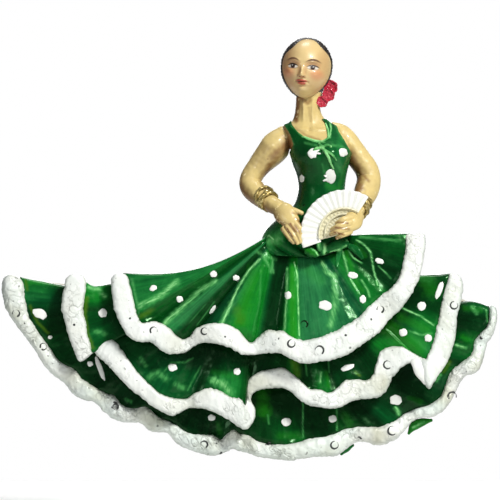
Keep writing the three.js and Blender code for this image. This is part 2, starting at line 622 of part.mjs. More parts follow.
const headSolid = head();
addSolid("neck_and_chest", chest.subtract(grown(headSolid)), PAINT.skin);
addSolid("head", headSolid, PAINT.skin);
const hair = hairCap(headSolid);
const bun = ball(BUN.centre, BUN.radii).subtract(grown(hair)).subtract(grown(headSolid));
addSolid("hair_cap", hair, PAINT.hair);
addSolid("hair_bun", bun, PAINT.hair);
addSolid("hair_flower", flower().subtract(grown(hair.add(headSolid))).subtract(grown(bun)), PAINT.red);

const shoulders = grown(torsoSolid.add(neckSolid));
for (const [side, arm] of Object.entries({ right: RIGHT_ARM, left: LEFT_ARM })) {
  const upper = solid(limb(arm.upper));
  const lower = solid(limb(arm.lower)).subtract(grown(upper));
  const fist = hand(side === "right" ? RIGHT_HAND : LEFT_HAND).subtract(grown(lower)).subtract(fanSeat);
  addSolid(`${side}_upper_arm`, upper.subtract(shoulders), PAINT.skin);
  addSolid(`${side}_forearm`, lower.subtract(shoulders), PAINT.skin);
  addSolid(`${side}_hand`, fist.subtract(shoulders), PAINT.skin);
}
for (const [name, ring] of Object.entries(BANGLES)) {
  addPiece(name, bangle(ring), PAINT.gold);
}

export default figurine;
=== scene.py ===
"""A flat-backed resin souvenir magnet: a dancer with an open fan in a polka-dot dress with three flounces.

Lengths are written in millimetres and scaled to metres when a piece is finished. The relief faces -Y.
"""
import math

import bmesh
import bpy
import numpy as np
from mathutils import Matrix, Vector, noise
from mathutils.bvhtree import BVHTree


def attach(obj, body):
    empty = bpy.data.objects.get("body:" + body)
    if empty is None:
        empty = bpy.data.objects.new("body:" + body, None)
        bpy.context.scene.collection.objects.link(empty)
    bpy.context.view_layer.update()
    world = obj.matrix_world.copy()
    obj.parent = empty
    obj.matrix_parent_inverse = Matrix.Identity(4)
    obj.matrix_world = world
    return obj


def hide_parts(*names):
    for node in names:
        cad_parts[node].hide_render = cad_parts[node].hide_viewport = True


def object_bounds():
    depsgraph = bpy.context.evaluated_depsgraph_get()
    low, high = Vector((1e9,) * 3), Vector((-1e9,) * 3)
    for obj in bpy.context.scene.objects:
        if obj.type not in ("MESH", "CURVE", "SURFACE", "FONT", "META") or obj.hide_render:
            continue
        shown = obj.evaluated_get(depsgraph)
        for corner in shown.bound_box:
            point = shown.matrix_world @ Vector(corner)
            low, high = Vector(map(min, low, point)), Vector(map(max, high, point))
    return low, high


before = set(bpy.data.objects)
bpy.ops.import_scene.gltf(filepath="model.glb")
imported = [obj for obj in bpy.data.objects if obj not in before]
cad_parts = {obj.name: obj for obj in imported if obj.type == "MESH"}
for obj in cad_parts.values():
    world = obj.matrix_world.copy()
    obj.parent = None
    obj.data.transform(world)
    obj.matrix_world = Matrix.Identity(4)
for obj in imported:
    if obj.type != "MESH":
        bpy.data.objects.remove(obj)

CAD_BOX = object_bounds()
MM = 0.001
WELD = 1e-4  # vertices nearer than this are one
ROOT = "root"

# ---- Measurements of the dress ----------------------------------------------------------------

# Stations along each lace band, left to right: its outer edge x and z, its inner edge x and z, and
# how far it stands forward of the flounce's plain front.
UPPER_BAND = [
    (-24.8, 11.9, -22.1, 12.1, -1.5), (-24.8, 9.4, -21.4, 9.5, -1), (-24.5, 7, -20.9, 7.2, -0.4),
    (-23.8, 4.5, -20.3, 5, 0.1), (-22.7, 2.2, -20, 4, 0.6), (-21.4, 0.5, -19.4, 3.2, 0.9),
    (-19.6, -0.2, -18.4, 3.2, 0.9), (-17.8, -0.2, -16.9, 3.4, 0.6), (-16.4, -1.3, -15.5, 2.9, 0.6),
    (-14.8, -2.2, -14.2, 2, 0.4), (-13, -2.3, -13, 0.7, -0.3), (-11.3, -2, -11.9, 0.2, -1),
    (-10.1, -1.1, -10.8, 0.7, -0.6), (-8.5, -0.4, -9.5, 2.2, 0.2), (-6.8, -0.4, -7.7, 2.9, 0.9),
    (-5, -0.7, -5.9, 3.1, 1.2), (-3.4, -1.4, -4, 2.9, 1.1), (-1.8, -2.2, -2.2, 2, 0.6),
    (-0.4, -2.5, -0.9, 0.5, -0.3), (1.1, -2.5, 0.2, -0.4, -1.1), (2.3, -2.3, 1.4, 0.5, -0.7),
    (3.8, -2.2, 2.9, 1.6, 0.2), (5.4, -2.3, 4.5, 1.8, 0.8), (7, -3.1, 6.1, 1.6, 0.9),
    (8.6, -3.8, 7.9, 0.5, 0.8), (10.4, -4, 9.9, 0, 0.9), (12.6, -3.8, 11.9, 0.4, 1.2),
    (14.8, -3.4, 13.9, 1.1, 1.3), (16.9, -2.7, 15.8, 2, 1.2), (19.1, -1.4, 17.8, 3.1, 0.9),
    (21.2, 0, 19.6, 4.3, 0.5), (23.2, 1.6, 21.1, 5.8, 0.1), (24.8, 3.6, 22.3, 7.2, -0.5),
    (26.5, 5.2, 23.8, 8.3, -0.2), (27.9, 7, 25.2, 9.4, 0.3), (29.2, 8.8, 26.3, 10.6, 0.3),
    (30.2, 11, 27, 12.4, 0), (30.8, 13.3, 27.5, 14.4, -0.4), (31.3, 15.8, 27.9, 16.6, -0.9),
    (31.5, 18, 27.9, 18.2, -1.4), (31.3, 19.3, 27.9, 19.1, -1.8),
]
MIDDLE_BAND = [
    (-33, 11.9, -29.6, 11.8, -1.4), (-33.2, 9.9, -29.4, 9.8, -0.8), (-33.7, 7.9, -29.7, 8.1, -0.3),
    (-33.7, 5.6, -29.9, 5.8, 0.1), (-33.1, 3.1, -29.5, 3.4, 0.5), (-32.4, 0.5, -29.2, 1.1, 0.8),
    (-31.5, -1.8, -28.6, -0.9, 0.9), (-30.6, -3.8, -28.3, -2.2, 0.8), (-29.2, -3.2, -27.7, -1.8, -1.1),
    (-28.1, -2.2, -26.5, -0.4, -0.7), (-27, -3.1, -24.7, 0, 0.1), (-25.7, -4.3, -23.6, -0.9, 0.5),
    (-24.3, -5.8, -22.5, -2.5, 0.6), (-22.7, -7.4, -21.4, -4.1, 0.6), (-21.1, -9, -20.3, -5.6, 0.6),
    (-19.3, -10.4, -18.9, -7, 0.7), (-17.5, -11.7, -17.3, -8.6, 0.9), (-15.7, -12.8, -15.8, -9.7, 0.9),
    (-13.9, -13.5, -14.2, -10.3, 0.6), (-12.2, -12.8, -12.6, -10.6, -0.3),
    (-10.8, -12.2, -11.2, -10.4, -0.6), (-9.2, -12.2, -9.7, -9.4, 0.2), (-7.6, -12.4, -7.9, -8.6, 0.6),
    (-5.8, -13.1, -6.3, -8.8, 0.8), (-4, -14.2, -4.7, -9.5, 1), (-2.3, -15.3, -3.2, -10.3, 1.3),
    (-0.7, -16, -1.6, -10.6, 1.4), (0.7, -14.4, -1.1, -11.2, -0.4), (0.9, -12.4, -1.3, -10.1, -1.5),
    (0.2, -10.8, -1.3, -8.6, -1.2), (0.7, -9.5, -0.4, -7.2, -0.9), (2.3, -8.8, 1.4, -5.9, -0.6),
    (4.1, -8.6, 3.6, -5.2, -0.5), (5.9, -8.6, 5.6, -5, -0.4), (7.4, -9.2, 7.4, -5.8, -0.1),
    (8.6, -10.4, 9, -7.2, 0.2), (10.1, -11.5, 10.6, -8.6, 0.4), (12.1, -11.9, 12.4, -8.8, 0.7),
    (14.2, -12.2, 14.2, -9.4, 0.9), (16, -12.1, 15.7, -8.5, 0.6), (17.8, -11.2, 17.1, -7.2, 0.3),
    (19.8, -10.6, 19.3, -7, 0), (21.8, -10.4, 21.1, -7.2, -0.1), (23.4, -10.1, 22.1, -6.1, -0.3),
    (24.7, -8.8, 22.7, -4.1, -0.7), (25.4, -7, 23.4, -2, -0.9), (26.5, -5.6, 25.2, -1.3, -0.6),
    (27.9, -4.5, 27.4, -1.3, -0.3), (29.3, -4.1, 29.2, -2.2, -0.2), (30.4, -5.8, 30.4, -2.9, 0.1),
    (32, -8.6, 31.5, -3.1, 1), (33.7, -6.5, 32.2, -1.8, 0.8), (35.3, -4.1, 32.9, 0, 0.5),
    (36.4, -1.4, 33.5, 2.2, 0.2), (36.9, 1.4, 34, 4.5, 0), (37.3, 4.5, 34.6, 7.2, -0.3),
    (38, 7.2, 35.1, 9.4, -0.6), (38.3, 9.5, 35.6, 11.2, -1), (38, 11.7, 35.8, 12.2, -1.3),
]
LOWER_BAND = [
    (-44.2, 12.3, -40.7, 11, -1.4), (-44.8, 9.5, -40.3, 8.8, -0.9), (-44.5, 7.2, -40, 6.5, -0.4),
    (-43.4, 4.5, -39.4, 4.1, 0), (-41.9, 2.3, -38.3, 2.2, 0.1), (-40.3, 0.2, -37.1, 0.4, -0.1),
    (-38.7, -2, -35.8, -1.4, 0.1), (-37.3, -4.3, -34.6, -3.2, 0.3), (-35.5, -6.3, -33.1, -4.3, 0),
    (-33.5, -7.9, -31.5, -5, -0.3), (-32, -9.7, -30.2, -6.5, 0), (-29.9, -10.8, -28.8, -7.7, 0.5),
    (-28.1, -11.2, -27.4, -8.5, 0.4), (-26.6, -12.8, -25.9, -9.2, -0.2), (-24.8, -14, -24.5, -9.7, 0.3),
    (-22.9, -14.8, -22.9, -11.5, 0.6), (-21.1, -14.9, -21.2, -12.1, 0.4),
    (-19.6, -15.1, -19.6, -11.7, -0.3), (-18.2, -16.4, -18.4, -11.9, 0.2),
    (-16.4, -16.7, -16.9, -13.3, 0.3), (-14.8, -16.9, -15.3, -14.2, -0.3),
    (-13.5, -18.4, -13.7, -14.8, -0.1), (-11.7, -19.6, -12.2, -15.8, 0.5), (-9.5, -20.3, -10.3, -16.6, 0.8),
    (-7.4, -20.9, -8.3, -16.6, 0.9), (-5.6, -20.7, -6.7, -16.9, 0.6), (-4.1, -20.2, -5.4, -17.8, -0.2),
    (-3.1, -19.8, -4.3, -16.6, -0.4), (-1.8, -20.2, -3.1, -15.8, 0.1), (-0.2, -20.5, -1.8, -16.7, -0.3),
    (1.4, -21.1, 0, -17.1, 0.2), (3.4, -21.4, 1.8, -18.2, 0), (5.6, -21.6, 4, -18.5, 0.3),
    (7.7, -21.8, 6.1, -18.5, 0.6), (9.7, -21.4, 8.3, -18.2, 0.6), (11.9, -21.1, 10.4, -17.5, 0.4),
    (13.9, -21.1, 12.6, -17.1, 0.5), (15.8, -20.9, 14.9, -16.6, 0.3), (17.6, -19.6, 17.1, -15.8, -0.4),
    (19.1, -18.5, 18.9, -15.5, -0.1), (20.9, -18.5, 20.9, -15.3, 0.2), (23, -19.1, 23, -15.3, 0.3),
    (25.2, -18.5, 24.8, -14.9, 0.1), (26.8, -17.6, 26.5, -14.2, -0.2), (28.1, -16.2, 27.7, -13.3, -0.5),
    (29.3, -14.8, 29, -12.6, -0.5), (31, -14, 30.4, -12.1, -0.1), (32.9, -13.9, 32, -11.5, 0.3),
    (34.7, -13, 33.5, -10.6, 0.4), (36, -11.5, 34.4, -9.7, 0.1), (36.9, -9.9, 34.9, -8.3, -0.3),
    (37.8, -8.1, 35.5, -6.5, -0.4), (38.9, -6.5, 36.4, -5, 0.1), (40.3, -6.1, 37.8, -4.1, 0.6),
    (41.6, -5, 39.1, -3.2, 0.5), (42.3, -2.9, 40, -1.8, -0.2), (42.8, -0.9, 40.1, -0.2, -0.5),
    (43.9, 1.1, 41.2, 1.1, 0.1), (44.5, 3.2, 42.5, 2.2, 0.3), (44.5, 5.2, 43, 4, -0.2),
    (43.7, 6.7, 43, 5.8, -0.7),
]

# Where the cloth of each flounce is gathered, left to right: x and z.
UPPER_ROOT = [(3.0, 18.7), (3, 16.9), (4.9, 15.5), (9, 15.1), (13.5, 15.3), (16.6, 16.5), (17.9, 18.9)]
MIDDLE_ROOT = [
    (-20.7, 9.9), (-19.4, 4.5), (-15.3, 2.2), (-9, 1.8), (0, 0.9), (10.8, 0.4), (18.9, 3.2), (24.3, 7.7),
    (27, 11.5),
]
LOWER_ROOT = [
    (-29.2, 9), (-27.7, 2.2), (-23.4, -2.7), (-16.2, -6.8), (-9, -8.1), (0, -8.6), (9, -8.6), (18, -8.1),
    (27, -4), (32, 0), (34.2, 4), (34.9, 5.8),
]

# Which place along its gathered root each place along a flounce's band hangs from.
UPPER_PACE = [
    (0, 0), (0.2, 0.05), (0.39, 0.12), (0.485, 0.17), (0.555, 0.33), (0.607, 0.41), (0.7, 0.56),
    (0.76, 0.68), (0.82, 0.79), (0.9, 0.9), (1, 1),
]
EVEN_PACE = [(0, 0), (1, 1)]

# Folds of each flounce across its width: place along the band, and height of the fold at the band.
UPPER_FOLDS = [
    (0, -1.4), (0.04, -0.6), (0.075, 0.5), (0.1, -0.2), (0.14, -0.5), (0.185, 0.7), (0.2, 0.5),
    (0.235, -0.5), (0.275, -1), (0.31, -0.3), (0.34, 0.5), (0.372, 1.5), (0.382, 1), (0.4, 0.8),
    (0.44, 0.8), (0.465, 0.4), (0.485, -1.1), (0.52, -1.5), (0.55, -1.1), (0.565, 0.3), (0.575, 1),
    (0.6, 1), (0.607, 0.3), (0.63, 0.5), (0.665, 1.1), (0.7, 1.2), (0.73, 1), (0.752, 0), (0.77, 0.7),
    (0.79, 0.2), (0.82, 0.5), (0.85, -0.4), (0.9, -0.2), (0.95, -1), (1, -1.7),
]
MIDDLE_FOLDS = [
    (0, -1.2), (0.03, -0.3), (0.06, 0.2), (0.09, 0.5), (0.12, 0.7), (0.137, -0.8), (0.155, -0.6),
    (0.18, 0.4), (0.22, 0.7), (0.24, 0.1), (0.27, 0.9), (0.3, 0.6), (0.315, -0.4), (0.345, -0.5),
    (0.37, 0.6), (0.4, 0.3), (0.43, 1.2), (0.452, 1.3), (0.465, -0.6), (0.485, -1.4), (0.53, -0.8),
    (0.57, -0.5), (0.615, 0.6), (0.622, -0.3), (0.645, 0.5), (0.66, 1.1), (0.672, 0.2), (0.7, 0.5),
    (0.73, 0), (0.76, -0.5), (0.79, -0.9), (0.82, -0.3), (0.845, 0.5), (0.853, -0.2), (0.875, 0.9),
    (0.89, 0.3), (0.92, 0.6), (0.94, -0.2), (0.97, -0.5), (1, -1.3),
]
LOWER_FOLDS = [
    (0, -1.2), (0.04, -0.5), (0.08, 0.2), (0.11, -0.2), (0.14, 0.3), (0.17, -0.2), (0.2, 0.5), (0.23, -0.3),
    (0.26, 0.6), (0.3, -0.3), (0.33, -0.1), (0.37, 0.8), (0.4, 0.6), (0.43, -0.4), (0.46, 0.2),
    (0.49, -0.3), (0.52, 0.7), (0.555, 0.6), (0.562, -0.3), (0.6, 0.5), (0.625, 0.4), (0.635, -0.4),
    (0.67, 0.3), (0.7, -0.2), (0.74, -0.5), (0.78, 0.3), (0.82, -0.3), (0.86, 0.5), (0.9, -0.4),
    (0.93, 0.4), (0.96, -0.3), (1, -0.7),
]

# root_front and hem_front: how far forward the plain cloth stands at its root and at its hem.
# back: the depth that the cloth is filled back to at its root.
# wall: how thick it is near the hem.
# sag: how far the left end and the right end hang, and how late down the cloth they hang lowest.
# growth: how the folds grow toward the hem; 1 is steady and less is earlier.
# tucked: where down the cloth it comes out of the shade of the flounce above.
# knobs: how knobbly the lace band is.
FLOUNCES = {
    "upper": {
        "band": UPPER_BAND, "root": UPPER_ROOT, "folds": UPPER_FOLDS, "pace": UPPER_PACE,
        "root_front": 12.2, "hem_front": 14.9, "back": -10.5, "wall": 1.5,
        "sag": (2.65, -0.1, 0.9), "growth": 0.8, "tucked": -1, "knobs": 0.12,
    },
    "middle": {
        "band": MIDDLE_BAND, "root": MIDDLE_ROOT, "folds": MIDDLE_FOLDS, "pace": EVEN_PACE,
        "root_front": 10.0, "hem_front": 12.0, "back": -8.4, "wall": 1.4,
        "sag": (1.6, 0.1, 2.6), "growth": 1.0, "tucked": 0.25, "knobs": 0.16,
    },
    "lower": {
        "band": LOWER_BAND, "root": LOWER_ROOT, "folds": LOWER_FOLDS, "pace": EVEN_PACE,
        "root_front": 7.4, "hem_front": 8.6, "back": -5.7, "wall": 2.6,
        "sag": (0.0, -1.1, 1.0), "growth": 1.0, "tucked": 0.25, "knobs": 0.32,
    },
}

# Brush strokes on each flounce: path in x and z, half width, strength and paint. The pale strokes are a dry
# brush on the crests that also stands for painted highlights, and they raise the crests a little; the
# bright strokes are painted light on lit panels; the warm strokes are a yellow-green dry brush.
BRUSHWORK = {
    "upper": [
        ([(-19.8, 6.12), (-16.2, 7.92), (-12.96, 10.62)], 0.63, 0.85, "dry_brush_highlight"),
        ([(-15.12, 3.06), (-14.04, 4.32), (-11.7, 6.3)], 0.58, 0.85, "dry_brush_highlight"),
        ([(-11.7, 6.3), (-9.0, 9.0), (-7.74, 9.72), (-6.12, 10.62)], 0.54, 0.75, "dry_brush_highlight"),
        ([(-5.04, 3.24), (-3.78, 5.76), (-2.16, 9.54), (-0.18, 12.6), (1.8, 14.58)], 0.28, 1, "dry_brush_highlight"),
        ([(-5.3, 2.6), (-4.6, 4.3), (-3.3, 6.7)], 0.5, 0.8, "dry_brush_highlight"),
        ([(1.2, 15.9), (2.6, 15.2), (4.6, 14.5)], 0.35, 0.6, "dry_brush_highlight"),
        ([(4.1, 14.4), (3.9, 12.9), (4.2, 12.2)], 0.28, 0.6, "dry_brush_highlight"),
        ([(1.9, 12.6), (1.8, 7.2), (0.6, 1.8)], 0.24, 0.32, "dry_brush_highlight"),
        ([(2.3, 15.12), (3.3, 13.6), (3.78, 12.2)], 0.34, 0.65, "dry_brush_highlight"),
        ([(6.7, 12.9), (6.5, 7.2), (6.1, 1.7)], 0.27, 0.85, "dry_brush_highlight"),
        ([(7.92, 14.04), (8.46, 11.7), (8.82, 0.9)], 0.18, 1, "dry_brush_highlight"),
        ([(15.12, 11.7), (15.3, 7.2), (14.4, 2.7)], 0.72, 0.7, "dry_brush_highlight"),
        ([(12.96, 14.04), (13.68, 12.24), (14.94, 11.52)], 0.43, 0.85, "dry_brush_highlight"),
        ([(16.56, 16.02), (17.1, 14.04), (17.82, 11.16), (19.44, 8.46)], 0.2, 0.9, "dry_brush_highlight"),
        ([(17.64, 16.2), (18.54, 14.76), (19.98, 13.86)], 0.18, 0.8, "dry_brush_highlight"),
        ([(19.98, 10.8), (20.88, 9.36), (21.42, 7.92)], 0.25, 0.8, "dry_brush_highlight"),
        ([(19.08, 18.0), (20.52, 17.1), (21.6, 15.84), (22.14, 12.6), (22.86, 9.9)], 0.2, 0.95, "dry_brush_highlight"),
        ([(23.04, 13.32), (25.2, 11.16)], 0.16, 0.75, "dry_brush_highlight"),
        ([(19.8, 18.54), (23.4, 18.18), (27.0, 17.82)], 0.32, 0.5, "dry_brush_highlight"),
        ([(-9.54, 2.7), (-7.74, 5.04), (-6.48, 6.84)], 0.14, 0.4, "dry_brush_highlight"),
        ([(-10.8, 3.24), (-8.1, 6.3)], 0.13, 0.35, "dry_brush_highlight"),
        ([(-21.06, 10.98), (-20.88, 9.36), (-20.16, 6.66)], 0.23, 0.5, "dry_brush_highlight"),
        ([(0.6, 12.4), (-0.9, 7.2), (-1.6, 3.4)], 1.2, 0.75, "painted_light"),
        ([(7.5, 13.0), (7.7, 0.9)], 0.55, 0.9, "painted_light"),
        ([(10.4, 12.6), (12.4, 10.8)], 1.1, 0.5, "painted_light"), ([(-2.2, 5.5), (-1.8, 3.6)], 0.9, 0.35, "warm"),
        ([(17.28, 15.84), (19.08, 10.26), (20.16, 8.82)], 0.43, 0.7, "painted_light"),
        ([(18.9, 16.92), (20.52, 15.12)], 0.54, 0.6, "painted_light"),
        ([(-19.62, 4.32), (-17.64, 5.4)], 0.45, 0.6, "warm"),
    ],
    "middle": [
        ([(28.9, 12.2), (31.5, 11.4), (32.6, 9)], 1.5, 0.6, "painted_light"),
        ([(30, 11.6), (32.4, 10.8)], 0.8, 0.22, "dry_brush_highlight"),
        ([(-28.98, 9.54), (-27.36, 9.18), (-26.1, 7.92)], 0.54, 0.75, "dry_brush_highlight"),
        ([(-29.34, 7.56), (-29.7, 4.5), (-29.16, 0.9), (-28.26, -1.26)], 0.41, 0.75, "warm"),
        ([(-27.72, 1.62), (-26.1, 1.26)], 0.54, 0.5, "dry_brush_highlight"),
        ([(-19.62, -3.24), (-18.72, -4.5)], 0.45, 0.5, "dry_brush_highlight"),
        ([(-18.0, -6.66), (-16.56, -5.76), (-15.12, -6.84)], 0.72, 0.5, "dry_brush_highlight"),
        ([(-15.3, -5.4), (-14.04, -3.96), (-11.7, -3.96), (-10.26, -3.24)], 0.2, 0.5, "dry_brush_highlight"),
        ([(-13.32, -7.92), (-11.88, -8.64)], 0.54, 0.5, "dry_brush_highlight"),
        ([(-11.16, -9.0), (-10.08, -6.84), (-8.82, -4.68)], 0.2, 0.45, "dry_brush_highlight"),
        ([(-6.48, -7.2), (-4.68, -7.92), (-3.6, -9.36)], 0.9, 0.75, "dry_brush_highlight"),
        ([(9.9, -3.6), (10.26, -6.3)], 0.18, 0.5, "dry_brush_highlight"),
        ([(12.78, -5.76), (12.6, -7.56)], 0.25, 0.95, "dry_brush_highlight"),
        ([(14.04, -3.6), (14.22, -5.76)], 0.16, 0.4, "dry_brush_highlight"),
        ([(27.36, 5.76), (30.6, 4.32), (32.94, 2.7)], 0.2, 0.95, "dry_brush_highlight"),
        ([(28.62, 1.62), (30.96, 0.9), (32.58, 1.26)], 0.25, 0.7, "dry_brush_highlight"),
        ([(18.9, -5.76), (19.62, -6.3)], 0.25, 0.7, "warm"),
        ([(7.92, -3.96), (8.46, -6.12)], 0.72, 0.7, "warm"),
        ([(24.3, 2.7), (27.0, 0.9), (30.24, -0.9)], 1.62, 0.75, "painted_light"),
        ([(27.0, 4.14), (31.5, 1.8)], 0.9, 0.6, "painted_light"),
        ([(13.68, -5.76), (14.22, -8.28)], 0.4, 0.7, "painted_light"),
        ([(-6.3, -5.76), (-2.7, -6.48)], 0.72, 0.35, "painted_light"),
    ],
    "lower": [
        ([(-39.96, 10.26), (-37.8, 10.62), (-34.2, 10.08)], 0.54, 0.6, "painted_light"),
        ([(-40.5, 10.8), (-40.14, 9.0)], 0.27, 0.7, "warm"),
        ([(-39.6, 6.12), (-38.34, 3.24), (-36.36, 1.26)], 0.29, 0.6, "warm"),
        ([(-22.32, -10.62), (-21.42, -11.16)], 0.36, 0.4, "dry_brush_highlight"),
        ([(9.54, -10.8), (9.54, -17.64)], 0.16, 0.6, "dry_brush_highlight"),
        ([(15.66, -12.06), (15.66, -16.2)], 0.16, 0.6, "dry_brush_highlight"),
        ([(26.28, -12.24), (26.82, -13.32)], 0.45, 0.8, "dry_brush_highlight"),
        ([(34.2, -6.3), (33.66, -7.38)], 0.36, 0.6, "dry_brush_highlight"),
        ([(37.08, -0.9), (38.88, -1.44)], 0.32, 0.9, "dry_brush_highlight"),
        ([(39.96, 5.94), (40.86, 4.86)], 0.4, 0.75, "dry_brush_highlight"),
        ([(42.48, 5.4), (42.84, 3.24)], 0.18, 0.7, "dry_brush_highlight"),
        ([(36.0, -3.96), (34.92, -5.76)], 0.36, 0.55, "warm"),
        ([(2.16, -10.08), (2.52, -12.96)], 1.26, 0.85, "painted_light"),
        ([(3.24, -13.5), (3.42, -15.12)], 0.22, 0.5, "dry_brush_highlight"),
        ([(5.4, -17.28), (9.0, -17.28)], 0.72, 0.45, "painted_light"),
        ([(17.1, -13.5), (18.0, -15.3)], 0.72, 0.35, "painted_light"),
        ([(38.34, 0.54), (39.24, 0.0)], 0.54, 0.6, "painted_light"),
        ([(38.7, 5.76), (41.4, 5.4)], 0.54, 0.6, "painted_light"),
        ([(-5.76, -15.3), (-5.4, -16.74)], 0.54, 0.4, "painted_light"),
        ([(28.8, -10.44), (30.6, -11.16)], 0.54, 0.4, "painted_light"),
    ],
}

# Painted light and shade of the folds across each flounce: place along the band, how light, and how bluish,
# the bluish tint partly a painted sheen.
FOLD_SHADING_GREENS = {
    "upper": [
        (0, 0.55, 0.4), (0.05, 0.6, 0.4), (0.08, 0.58, 0.3), (0.1, 0.42, 0), (0.15, 0.28, 0),
        (0.18, 0.3, 0.1), (0.2, 0.6, 0.7), (0.222, 0.6, 0.7), (0.24, 0.2, 0.1), (0.29, 0.16, 0),
        (0.32, 0.2, 0.4), (0.35, 0.3, 0.6), (0.375, 0.5, 0.6), (0.39, 0.6, 0.3), (0.41, 0.7, 0),
        (0.485, 0.7, 0), (0.5, 0.4, 0.3), (0.512, 0.12, 0.2), (0.55, 0.1, 0.2), (0.565, 0.45, 0.1),
        (0.58, 0.75, 0), (0.605, 0.8, 0), (0.616, 0.6, 0.8), (0.63, 0.6, 1), (0.69, 0.66, 1),
        (0.71, 0.55, 0.9), (0.76, 0.42, 0.9), (0.775, 0.58, 0.3), (0.8, 0.6, 0.1), (0.835, 0.52, 0.1),
        (0.85, 0.17, 0.2), (0.9, 0.14, 0.2), (0.94, 0.3, 0.1), (1, 0.5, 0.2),
    ],
    "middle": [
        (0, 0.7, 0), (0.035, 0.65, 0), (0.05, 0.28, 0.1), (0.075, 0.25, 0.2), (0.09, 0.45, 0.3),
        (0.12, 0.4, 0.2), (0.15, 0.2, 0.2), (0.2, 0.14, 0.2), (0.23, 0.3, 0.3), (0.28, 0.42, 0.5),
        (0.31, 0.36, 0.3), (0.34, 0.34, 0.4), (0.36, 0.12, 0.2), (0.385, 0.3, 0.3), (0.4, 0.62, 0.3),
        (0.43, 0.68, 0.3), (0.45, 0.28, 0), (0.48, 0.14, 0), (0.53, 0.12, 0.2), (0.57, 0.2, 0),
        (0.585, 0.5, 0), (0.6, 0.48, 0), (0.61, 0.14, 0.1), (0.628, 0.2, 0.1), (0.64, 0.6, 0.1),
        (0.655, 0.55, 0.1), (0.668, 0.14, 0.2), (0.7, 0.24, 0.2), (0.735, 0.12, 0.2), (0.765, 0.14, 0.1),
        (0.785, 0.6, 0), (0.83, 0.72, 0), (0.87, 0.6, 0), (0.885, 0.6, 0.5), (0.91, 0.66, 0.1),
        (0.925, 0.5, 0.1), (0.935, 0.2, 0.1), (1, 0.24, 0.1),
    ],
    "lower": [
        (0, 0.62, 0.1), (0.025, 0.5, 0.5), (0.045, 0.16, 0.3), (0.07, 0.12, 0.1), (0.1, 0.26, 0.2),
        (0.13, 0.14, 0.2), (0.2, 0.06, 0.2), (0.26, 0.09, 0.4), (0.3, 0.05, 0.2), (0.41, 0.05, 0.3),
        (0.43, 0.24, 0.1), (0.45, 0.06, 0.1), (0.5, 0.08, 0.1), (0.53, 0.26, 0.1), (0.57, 0.36, 0.1),
        (0.585, 0.1, 0.1), (0.618, 0.1, 0.2), (0.632, 0.28, 0), (0.655, 0.2, 0), (0.67, 0.06, 0.1),
        (0.695, 0.08, 0.3), (0.71, 0.4, 0.4), (0.73, 0.2, 0.3), (0.8, 0.1, 0.2), (0.84, 0.24, 0.5),
        (0.865, 0.4, 0), (0.885, 0.12, 0.2), (0.905, 0.5, 0.2), (0.94, 0.45, 0), (0.955, 0.12, 0.2),
        (0.975, 0.12, 0.2), (0.99, 0.4, 0.3), (1, 0.5, 0.3),
    ],
}

# Where the white of each band is darkened, by grime and by painted shade in its folds: place along it and
# how much.
GRIME_AND_SHADE = {
    "upper": [
        (0, 0.1), (0.1, 0.15), (0.135, 0.45), (0.17, 0.1), (0.26, 0.5), (0.33, 0.55), (0.38, 0.1),
        (0.5, 0.15), (0.53, 0.5), (0.56, 0.35), (0.62, 0.05), (0.75, 0.15), (0.82, 0.35), (0.88, 0.25),
        (1, 0.15),
    ],
    "middle": [
        (0, 0.15), (0.05, 0.35), (0.12, 0.15), (0.2, 0.1), (0.3, 0.25), (0.36, 0.55), (0.42, 0.15),
        (0.48, 0.2), (0.5, 0.7), (0.55, 0.55), (0.6, 0.2), (0.7, 0.3), (0.735, 0.8), (0.76, 0.9),
        (0.79, 0.25), (0.85, 0.1), (0.9, 0.5), (1, 0.3),
    ],
    "lower": [
        (0, 0.3), (0.05, 0.75), (0.1, 0.5), (0.15, 0.65), (0.2, 0.85), (0.25, 0.55), (0.3, 0.8),
        (0.335, 0.9), (0.38, 0.45), (0.44, 0.5), (0.48, 0.85), (0.52, 0.5), (0.56, 0.35), (0.6, 0.55),
        (0.64, 0.35), (0.68, 0.95), (0.72, 0.4), (0.78, 0.5), (0.83, 0.9), (0.86, 0.35), (0.9, 0.9),
        (0.94, 0.35), (1, 0.3),
    ],
}

# ---- Making shapes ----------------------------------------------------------------------------

TUBE_END = 0.12  # share of a tube's rows that closes each of its ends
FORWARD = np.array([0.0, -1.0, 0.0])
IN_FRONT = -40  # a feeler starts this far forward, clear of everything


def smooth(points, t):
    """A smooth line through evenly numbered points, at each share t of it."""
    p = np.asarray(points, float)
    p = p.reshape(len(p), -1)
    last = len(p) - 1
    place = np.clip(t, 0, 1) * last
    k = np.minimum(place.astype(int), last - 1)
    f = (place - k)[:, None]
    a, b, c, d = p[np.maximum(k - 1, 0)], p[k], p[k + 1], p[np.minimum(k + 2, last)]
    return 0.5 * (2 * b + (c - a) * f + (2 * a - 5 * b + 4 * c - d) * f**2 + (3 * b - a - 3 * c + d) * f**3)


def lengths_along(walk):
    """How far along a line each of its points lies."""
    return np.concatenate([[0], np.cumsum(np.linalg.norm(np.diff(walk, axis=0), axis=1))])


def even(points, t):
    """The same smooth line walked at an even pace."""
    steps = np.linspace(0, 1, 400)
    lengths = lengths_along(smooth(points, steps))
    return smooth(points, np.interp(np.clip(t, 0, 1) * lengths[-1], lengths, steps))


def ease(low, high, value):
    """0 below low, 1 above high, and a soft step between."""
    t = np.clip((value - low) / (high - low), 0, 1)
    return t * t * (3 - 2 * t)


def rough(points, size, seed=0.0):
    """Smooth noise from -1 to 1 at each point, with lumps of about the given size."""
    shift = Vector((seed * 7.3, seed * 3.1, seed * 5.7))
    return np.array([noise.noise(Vector(p) / size + shift) for p in points])


def both_faces(t):
    """Splits t into a front and a back: whether it is in front, and its share of the way down."""
    front = t <= 0.5
    return front, np.where(front, t * 2, 2 - t * 2)


